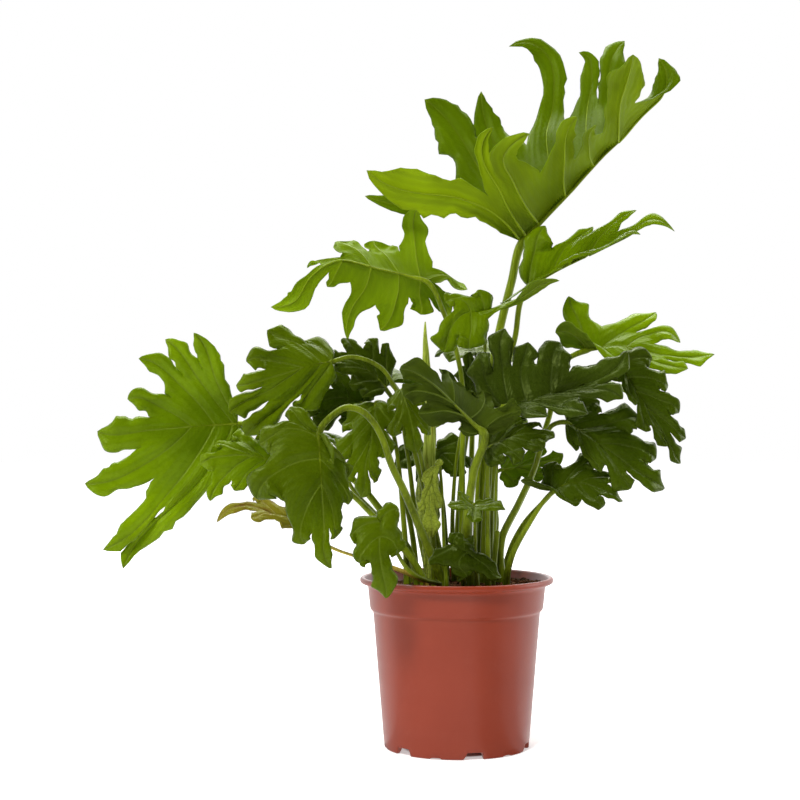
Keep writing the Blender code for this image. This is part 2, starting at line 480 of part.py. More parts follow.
class Leaf:
    """The curves that a frond's blade hangs on: its midrib and one rib for each lobe.

    A rib's key is its side and its number from the joint outwards. The tip's rib is ("end", 0): it
    forks off where the last lobes' ribs do.
    """

    def __init__(self, frond):
        spine = smooth_curve([place(p) for p in frond["spine"]])
        self.count = len(frond["right"])
        self.join = frond.get("join", JOIN)
        self.point = frond.get("point", POINT)
        self.tip = frond.get("tip", TIP)
        fork = frond["share"] * frond["starts"][-1]
        starts = [start / frond["starts"][-1] for start in frond["starts"]]
        middles = [(a + b) / 2 for a, b in zip(starts, starts[1:])]
        self.stations = sorted(starts + middles)
        self.midrib = lambda t: spine(fork * np.asarray(t))
        self.ribs = {("end", 0): lambda u: spine(fork + (1 - fork) * np.asarray(u))}
        self.widths = {("end", 0): frond["tip_width"]}
        self.ups = {}
        ahead = unit(np.diff(self.midrib(np.array(starts + [starts[-1] + 0.1])), axis=0))
        for side, turn in (("right", 1.0), ("left", -1.0)):
            for i, (width, *points) in enumerate(frond[side]):
                start = self.midrib(starts[i])[0]
                points = [place(p) for p in points]
                self.ups[side, i] = turn * np.cross(unit(points[-1] - start), ahead[i])
                self.ribs[side, i] = smooth_curve([start] + points)
                self.widths[side, i] = width
            whole = sum(self.ups[side, i] for i in range(self.count))
            for i in range(self.count):
                self.ups[side, i] *= 1.0 if self.ups[side, i] @ whole > 0 else -1.0
        self.up = unit(sum(self.ups.values()))
        self.ups["end", 0] = np.array(frond.get("tip_face", self.up))
        self.ups = {key: unit(up) for key, up in self.ups.items()}
        self.lengths = {k: np.linalg.norm(rib(1)[0] - rib(0)[0]) for k, rib in self.ribs.items()}

    def neighbour(self, side, i):
        return (side, i) if 0 <= i < self.count else ("end", 0)

    def sinus(self, key, beside):
        """How far out along a rib, as a share, its blade stays joined to the one beside it."""
        return self.join * min(self.lengths[key], self.lengths[beside]) / self.lengths[key]

    def seam(self, key, beside, shares):
        """Places on the line midway between two ribs that their blades share, from rib to sinus."""
        lines = [self.ribs[a](shares * self.sinus(a, b)) for a, b in ((key, beside), (beside, key))]
        return (lines[0] + lines[1]) / 2

    def edge(self, key, beside, u, phase, turn):
        """Places on the free edge of a half lobe: beyond the sinus, or with none, from the joint."""
        rib = self.ribs[key](u)
        along = self.ribs[key](u + 0.01) - self.ribs[key](u - 0.01)
        across = turn * unit(np.cross(self.ups[key], unit(along)))
        half = self.widths[key] / 2
        if beside is None:
            w = u
            width = half * lobe_outline(w, phase, self.point, self.tip) * (1 - (1 - w) ** 4)
        else:
            sinus = self.sinus(key, beside)
            w = np.clip((u - sinus) / (1 - sinus), 0, 1)
            others = self.ribs[beside](np.linspace(0, 1, 16))
            room = np.linalg.norm(rib[:, None, :] - others[None, :, :], axis=2).min(axis=1)
            width = np.minimum(half * lobe_outline(w, phase, self.point, self.tip), CLEAR_SHARE * room)
        ruffle = RUFFLE * half * w * (1 - w**4) * np.cos(3 * math.pi * w + 2 * phase)
        return rib + across * width[:, None] + ruffle[:, None] * self.ups[key]

    def rows(self, key, sinuses):
        """The shares of a rib at which its two half lobes are cut into rows."""
        low, high = min(sinuses), max(sinuses)
        marks = [low, high] if high - low > EVEN_SINUS else [(low + high) / 2]
        return np.concatenate(([0.0], marks, np.linspace(marks[-1], 1, FREE_ROWS + 1)[1:]))


def blade_sheet(frond):
    """The blade as one open sheet: its points and its triangles, with the upper face outwards."""
    leaf = Leaf(frond)
    last = leaf.count - 1
    points = []
    index = {}
    triangles = []

    def point(key, where):
        if key not in index:
            index[key] = len(points)
            points.append(where)
        return index[key]

    def half_lobe(key, beside, side, gap, u, flip, phase):
        """One half of a lobe, between its rib and the sinus `gap` on `side`."""
        rib = leaf.ribs[key](u)
        foot = point(("midrib", 2 * (last if key[0] == "end" else key[1])), rib[0])
        turn = -1.0 if flip else 1.0
        edge = leaf.edge(key, beside, u, phase, turn)
        if beside is None:
            sinus = 0.0
            outer_foot = foot
        else:
            sinus = leaf.sinus(key, beside)
            seam = leaf.seam(key, beside, np.array((1.0,)))[0]
            shift = seam - leaf.edge(key, beside, np.array((sinus,)), phase, turn)[0]
            fade = np.clip((1 - u) / (1 - sinus), 0, 1) ** NECK_POWER
            edge += fade[:, None] * shift
            station = min(2 * gap + 1, 2 * last)
            outer_foot = point(("midrib", station), leaf.midrib(leaf.stations[station])[0])
        grid = [(foot, outer_foot)]
        for j in range(1, len(u)):
            inner = point((key, "rib", j), rib[j])
            if j == len(u) - 1:
                outer = inner
            elif beside is None or u[j] > sinus + EVEN_SINUS / 2 + 1e-6:
                outer = point((key, side, gap, "edge", j), edge[j])
            elif u[j] < sinus / 2:
                outer = outer_foot
            else:
                outer = point((side, "sinus", gap), seam)
            grid.append((inner, outer))
        for (a, d), (b, c) in zip(grid, grid[1:]):
            for triangle in ((a, b, c), (a, c, d)):
                if len(set(triangle)) == 3:
                    triangles.append(triangle[::-1] if flip else triangle)

    for side in ("right", "left"):
        mirrored = side == "left"
        for i in range(leaf.count):
            key = (side, i)
            phase = 0.9 * math.sin(2.4 * i + (1.3 if mirrored else 0.0))
            above = leaf.neighbour(side, i + 1)
            below = (side, i - 1) if i else None
            u = leaf.rows(key, [leaf.sinus(key, beside) for beside in (above, below) if beside])
            half_lobe(key, above, side, i, u, mirrored, phase)
            half_lobe(key, below, side, i - 1, u, not mirrored, -phase)
    key = ("end", 0)
    u = leaf.rows(key, [leaf.sinus(key, (side, last)) for side in ("right", "left")])
    for side in ("right", "left"):
        half_lobe(key, (side, last), side, last, u, side == "right", 0.4)
    return np.array(points), triangles


def thick_sheet(points, triangles, thickness):
    """A closed solid of even thickness about an open sheet, split alike on both faces."""
    corners = points[np.array(triangles)]
    facing = unit(np.cross(corners[:, 1] - corners[:, 0], corners[:, 2] - corners[:, 0]))
    pulls = np.zeros((len(points), 3))
    spreads = np.tile(np.eye(3) * MITRE_LIMIT, (len(points), 1, 1))
    for k in range(3):
        np.add.at(pulls, np.array(triangles)[:, k], facing)
        np.add.at(spreads, np.array(triangles)[:, k], facing[:, :, None] * facing[:, None, :])
    ups = np.linalg.solve(spreads, pulls[:, :, None])[:, :, 0] * thickness / 2
    count = len(points)
    faces = list(triangles) + [tuple(i + count for i in t[::-1]) for t in triangles]
    directed = {(t[k], t[(k + 1) % 3]) for t in triangles for k in range(3)}
    for a, b in sorted(directed):
        if (b, a) not in directed:
            faces += [(b, a, a + count), (b, a + count, b + count)]
    return np.concatenate((points + ups, points - ups)), faces


def tube(path, radii, sides):
    """A closed tube along the path, with flat ends."""
    path = np.asarray(path, dtype=float)
    along = unit(np.gradient(path, axis=0))
    across = np.cross(along[0], (0.0, 1.0, 0.3))
    points = []
    for centre, direction, radius in zip(path, along, radii):
        across = unit(across - direction * (across @ direction))
        other = np.cross(direction, across)
        for k in range(sides):
            turn = 2 * math.pi * k / sides
            points.append(centre + radius * (math.cos(turn) * across + math.sin(turn) * other))
    faces = []
    for j in range(len(path) - 1):
        for k in range(sides):
            a, b = j * sides + k, j * sides + (k + 1) % sides
            faces += [(a, b, b + sides), (a, b + sides, a + sides)]
    end = (len(path) - 1) * sides
    for k in range(1, sides - 1):
        faces += [(0, k + 1, k), (end, end + k, end + k + 1)]
    return np.array(points), faces


def stalk_path(frond):
    """A petiole's axis and radii, from its foot in the soil to the joint and on under the midrib."""
    foot_x, foot_y = frond["stalk"][0]
    leaf = Leaf(frond)
    base, tip = frond["radius"]
    mouth = np.array((foot_x, foot_y, STALK_MOUTH))
    knee = place(frond["spine"][0]) - leaf.up * tip * KNEE_DROP
    under = leaf.midrib(RUN_ON)[0] - leaf.up * tip * RUN_ON_DROP
    route = [mouth] + [place(p) for p in frond["stalk"][1:]] + [knee, under]
    steps = np.linalg.norm(np.diff(route, axis=0), axis=1)
    knee_share = 1 - steps[-1] / steps.sum()
    climb = 1 - (1 - np.linspace(0, 1, STALK_STATIONS)) ** CROWDING
    shares = np.concatenate((climb * knee_share, [(1 + knee_share) / 2, 1]))
    path = [mouth - (0, 0, mouth[2] - STALK_FOOT)] + list(smooth_curve(route)(shares))
    radii = [base] + list(base + (tip - base) * np.minimum(climb / TAPERED, 1))
    radii += [tip * share for share in RUN_ON_RADII]
    return path, radii


def new_object(name, points, faces, material=None):
    mesh = bpy.data.meshes.new(name)
    mesh.from_pydata([tuple(p) for p in np.asarray(points) * MM], [], faces)
    if material:
        mesh.materials.append(material)
    thing = bpy.data.objects.new(name, mesh)
    bpy.context.scene.collection.objects.link(thing)
    return thing


def carve(thing, tools, operation):
    """Joins the tools to the thing, or cuts them from it, in one exact Boolean."""
    group = bpy.data.collections.new("tools")
    bpy.context.scene.collection.children.link(group)
    for tool in tools:
        bpy.context.scene.collection.objects.unlink(tool)
        group.objects.link(tool)
    boolean = thing.modifiers.new(operation.lower(), "BOOLEAN")
    boolean.operation = operation
    boolean.solver = "EXACT"
    boolean.operand_type = "COLLECTION"
    boolean.collection = group
    bpy.context.view_layer.update()
    seen = thing.evaluated_get(bpy.context.evaluated_depsgraph_get())
    result = bpy.data.meshes.new_from_object(seen)
    thing.modifiers.clear()
    old = thing.data
    thing.data = result
    bpy.data.meshes.remove(old)
    for tool in tools:
        bpy.data.objects.remove(tool)
    bpy.data.collections.remove(group)


def material(name, colour, roughness):
    stuff = bpy.data.materials.new(name)
    stuff.use_nodes = True
    shader = stuff.node_tree.nodes["Principled BSDF"]
    shader.inputs["Base Color"].default_value = (*colour, 1.0)
    shader.inputs["Roughness"].default_value = roughness
    shader.inputs["Metallic"].default_value = 0.0
    return stuff


def make_frond(name, frond, stuff):
    blade = new_object(name, *thick_sheet(*blade_sheet(frond), BLADE), stuff)
    path, radii = stalk_path(frond)
    stalk = new_object("stalk", *tube(path, radii, STALK_SIDES))
    carve(blade, [stalk], "UNION")
    return blade


def turned(name, profile, sides, stuff):
    """A solid turned about the z axis from an outline of (radius, height) points."""
    rings = []
    points = []
    for radius, height in profile:
        if radius == 0:
            rings.append([len(points)] * sides)
            points.append((0, 0, height))
            continue
        rings.append(list(range(len(points), len(points) + sides)))
        for k in range(sides):
            turn = 2 * math.pi * k / sides
            points.append((radius * math.cos(turn), radius * math.sin(turn), height))
    faces = []
    for low, high in zip(rings, rings[1:]):
        for k in range(sides):
            a, b, c, d = low[k], low[(k + 1) % sides], high[(k + 1) % sides], high[k]
            for face in ((a, b, c), (a, c, d)):
                if len(set(face)) == 3:
                    faces.append(face)
    return new_object(name, points, faces, stuff)


def block(name, size, centre, turn):
    """A closed box, turned about the z axis after it is put at its centre."""
    made = bmesh.new()
    bmesh.ops.create_cube(made, size=1.0)
    mesh = bpy.data.meshes.new(name)
    made.to_mesh(mesh)
    made.free()
    corners = np.array([v.co for v in mesh.vertices]) * size + centre
    cos, sin = math.cos(turn), math.sin(turn)
    spin = np.array(((cos, -sin, 0), (sin, cos, 0), (0, 0, 1)))
    for vertex, corner in zip(mesh.vertices, corners @ spin.T * MM):
        vertex.co = corner
    thing = bpy.data.objects.new(name, mesh)
    bpy.context.scene.collection.objects.link(thing)
    return thing


def make_pot(stuff):
    """The nursery pot: notched foot ring, boss under the floor, tapered wall, collar and lip."""
    profile = [
        (0, 0), (BOSS_RADIUS, 0), (BOSS_RADIUS + 1.5, SKIRT_DEPTH),
        (FOOT_RADIUS - RING_WALL - 0.5, SKIRT_DEPTH), (FOOT_RADIUS - RING_WALL, 0), (FOOT_RADIUS, 0),
        WALL_TOP, COLLAR_FOOT, COLLAR_TOP, LIP_UNDER,
        (LIP_RADIUS, LIP_UNDER[1] + 1.5), (LIP_RADIUS, POT_HEIGHT - 1.5),
        (LIP_RADIUS - 1.5, POT_HEIGHT), (LIP_RADIUS - 4, POT_HEIGHT),
        *reversed(INSIDE), (0, FLOOR_TOP),
    ]
    pot = turned("pot", profile, POT_SIDES, stuff)
    cutters = []
    for k in range(NOTCHES):
        turn = math.radians(NOTCH_TURN + 360 / NOTCHES * k) - math.pi / 2
        size = (NOTCH_REACH, NOTCH_WIDTH, 2 * NOTCH_HEIGHT)
        cutters.append(block("notch", size, (FOOT_RADIUS, 0, 0), turn))
        turn += math.pi / NOTCHES
        size = (NOTCH_REACH, SMALL_NOTCH_WIDTH, 2 * SMALL_NOTCH_HEIGHT)
        cutters.append(block("notch", size, (FOOT_RADIUS, 0, 0), turn))
    carve(pot, cutters, "DIFFERENCE")
    return pot


def make_soil(stuff, stalks):
    """The potting soil, with a plain hole for each petiole and stem."""
    fit = math.cos(math.pi / POT_SIDES)
    gap = FIT_GAP / fit + FACET_ROOM

    def radius_at(height):
        wall = np.interp(height, [z for _, z in INSIDE], [r for r, _ in INSIDE])
        return wall * fit - gap

    base = FLOOR_TOP + FIT_GAP
    profile = [(0, base)]
    profile += [(radius_at(z), z) for z in (base, WALL_TOP[1], COLLAR_FOOT[1], SOIL_EDGE)]
    profile += [(SOIL_FLAT_RADIUS, SOIL_CROWN), (0, SOIL_CROWN)]
    soil = turned("soil", profile, SOIL_SIDES, stuff)
    cutters = []
    for (x, y), radius in stalks:
        low = STALK_FOOT - HOLE_GAP
        path = [(x, y, low), (x, y, 2 * SOIL_CROWN - low)]
        cutters.append(new_object("hole", *tube(path, [radius + HOLE_GAP] * 2, STALK_SIDES)))
    carve(soil, cutters, "DIFFERENCE")
    return soil


def make_stem(stuff):
    """The crown stem: papery sheath below, bare stem above, and the rolled young leaf on top."""
    path = [np.array((*STEM_FOOT, STALK_FOOT))] + [place(p) for p in STEM_ROUTE]
    return new_object("crown_stem", *tube(path, STEM_RADII, STEM_SIDES), stuff)


def make_stub(stuff):
    """What is left of a petiole that was cut off."""
    path = [(*STUB_FOOT, STALK_FOOT)] + STUB_ROUTE
    return new_object("cut_stub", *tube(path, STUB_RADII, STALK_SIDES), stuff)


MATERIALS = {
    "leaf_green": ((0.105, 0.225, 0.015), 0.4),
    "leaf_bright": ((0.2, 0.38, 0.01), 0.4),
    "leaf_dark": ((0.03, 0.06, 0.012), 0.4),
    "leaf_old": ((0.42, 0.34, 0.04), 0.6),
    "stem_green": ((0.2, 0.28, 0.03), 0.5),
    "pot_plastic": ((0.31, 0.07, 0.035), 0.45),
    "peat": ((0.045, 0.022, 0.012), 0.95),
}


def main():
    for thing in list(bpy.data.objects):
        bpy.data.objects.remove(thing)
    stuffs = {name: material(name, *look) for name, look in MATERIALS.items()}
    looks = {"leaf_01_crown": "leaf_bright", "leaf_03_upper_left": "leaf_bright",
             "leaf_33_papery": "leaf_bright", "leaf_10_old": "leaf_old",
             "leaf_13_dark": "leaf_dark", "leaf_16_right_low": "leaf_dark"}
    stalks = [(STEM_FOOT, STEM_HOLE), (STUB_FOOT, STUB_RADII[0])]
    for name, frond in FRONDS.items():
        make_frond(name, frond, stuffs[looks.get(name, "leaf_green")])
        stalks.append((frond["stalk"][0], frond["radius"][0]))
    make_stem(stuffs["stem_green"])
    make_stub(stuffs["stem_green"])
    make_pot(stuffs["pot_plastic"])
    make_soil(stuffs["peat"], stalks)


main()
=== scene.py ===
"""Looks of a potted lacy tree philodendron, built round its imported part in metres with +Z up.

Every frond is drawn again on the part's own curves with fine rows, veins, ribs and a round petiole.
"""

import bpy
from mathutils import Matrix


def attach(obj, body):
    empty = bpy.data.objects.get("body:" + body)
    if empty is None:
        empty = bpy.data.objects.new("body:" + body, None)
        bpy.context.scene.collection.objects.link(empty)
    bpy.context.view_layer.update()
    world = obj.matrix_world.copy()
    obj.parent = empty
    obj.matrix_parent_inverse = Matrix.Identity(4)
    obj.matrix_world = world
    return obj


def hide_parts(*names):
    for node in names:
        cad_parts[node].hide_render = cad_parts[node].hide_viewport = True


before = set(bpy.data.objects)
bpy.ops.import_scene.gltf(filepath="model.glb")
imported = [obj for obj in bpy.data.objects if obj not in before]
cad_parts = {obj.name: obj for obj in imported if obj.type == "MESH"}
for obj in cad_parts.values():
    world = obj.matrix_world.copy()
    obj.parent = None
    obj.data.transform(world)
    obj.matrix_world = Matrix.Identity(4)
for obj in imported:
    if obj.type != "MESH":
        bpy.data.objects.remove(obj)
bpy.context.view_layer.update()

import math
import random

import bmesh
import bpy
import numpy as np
from mathutils import Vector, noise

MM = 0.001
MM_PER_CM = 10

# The viewpoint of the photograph, which the frond table is drawn from, in millimetres
EYE_X = -61.5
EYE_Z = 376.0
EYE_DISTANCE = 1900.0
LENS = 78.57

# How a blade is cut into lobes, as in the part. A lobe's margin swings out and in by WAVE, about a
# line that is WAVE_INWARD of that further in, and lifts and sinks by RUFFLE.
JOIN = 0.62
POINT = 2.2
TIP = 0.68
CLEAR_SHARE = 0.48
NECK_POWER = 2.5
WAVE = 0.17
WAVE_INWARD = 0.7
HALF_WAVES = 3
RUFFLE = 0.13
OPENING_POWER = 4
LOBE_PHASE, LOBE_PHASE_STEP, LEFT_PHASE, END_PHASE = 0.9, 2.4, 1.3, 0.4

# How finely a half lobe is drawn: rows to the sinus, rows beyond it, and columns to the edge. The
# powers crowd the rows towards the tip and the columns towards the rib.
JOINED_ROWS = 8
FREE_ROWS = 18
COLUMNS = 7
ROW_POWER = 0.92
COLUMN_POWER = 1.15

# Shape of the blade between its ribs and along its edges, in millimetres or as a share of a width.
# QUILT_LEFT is the share of the quilting at the sinus, and QUILT_FADE how soon it goes beyond it.
QUILT = 0.23
QUILT_LEFT = 0.4
QUILT_FADE = 6
LOBE_CROWN = 0.17
SWAY = 2.2
SWAY_SIZE = 34.0
FRILL = 2.4
FRILL_SIZE = 13.0
FULL_FRILL_WIDTH = 24.0
FRILL_POWER = 1.5
TEETH = 0.17
TOOTH_SIZE = 9.0
BLADE = 0.5

# How a rib's outer part is bowed, as shares of its length: aside (hook) and upwards (curl)
HOOK = 0.07
HOOK_RANGE = (0.5, 1.2)
HOOK_FROM = 0.45
CURL = 0.12
CURL_RANGE = (-0.6, 1.2)
BOW_PEAK = 4 / 27

# Brings smooth noise to about -1 to 1
NOISE_SCALE = 1.8

# How far apart the seeds lie in smooth noise: in a blade's sway, and in its pattern
SWAY_STEP = (7.3, 3.1, 5.7)
PATTERN_STEP = (0.37, 0.11, 0.23)

# Steps along a curve that show its direction, and marks on a rib that room is measured to
STEP, END_STEP = 0.01, 0.1
MARKS = 16

# Ribs under the blade: size as a share of the petiole's, and the length of rib that has it in full
RIB_SIZE = 0.289
END_RIB_SIZE = 0.357
FULL_RIB_LENGTH = 90.0
RIB_POWER = 0.75
RIB_END = 0.16
RIB_SIDES = 6
FLATNESS = 0.85
SINK = 0.45

# Petiole and midrib, as shares of the petiole's radius at its foot (flare) or its joint
STALK_ROWS = 45
STALK_ROW_POWER = 1.3
STALK_SIDES = 12
STALK_FLATNESS = 0.93
BURIED_SIZE = 1.1
TAPER_SHARE = 1.6
FLARE, FLARE_FADE = 0.12, 14
KNOB, KNOB_AT, KNOB_SHARPNESS = 0.1, 0.985, 30
RUN_UNDER = 0.2
RUN_SINK = 0.25
RUN_SHARES = (0.35, 0.7, 1.0)
RUN_SIZES = (0.8, 0.6, 0.3)
MIDRIB_ROWS = 16
MIDRIB_SIDES = 8
MIDRIB_SIZE, MIDRIB_TAPER, MIDRIB_SINK = 0.62, 0.34, 0.5

# Heights of the soil's middle and edge, of a petiole's mouth and foot, and the pot's size
SOIL_CROWN, SOIL_EDGE = 177.0, 172.0
STALK_MOUTH, STALK_FOOT = 183.0, 148.0
POT_HEIGHT = 184.5
LIP_RADIUS = 105.0

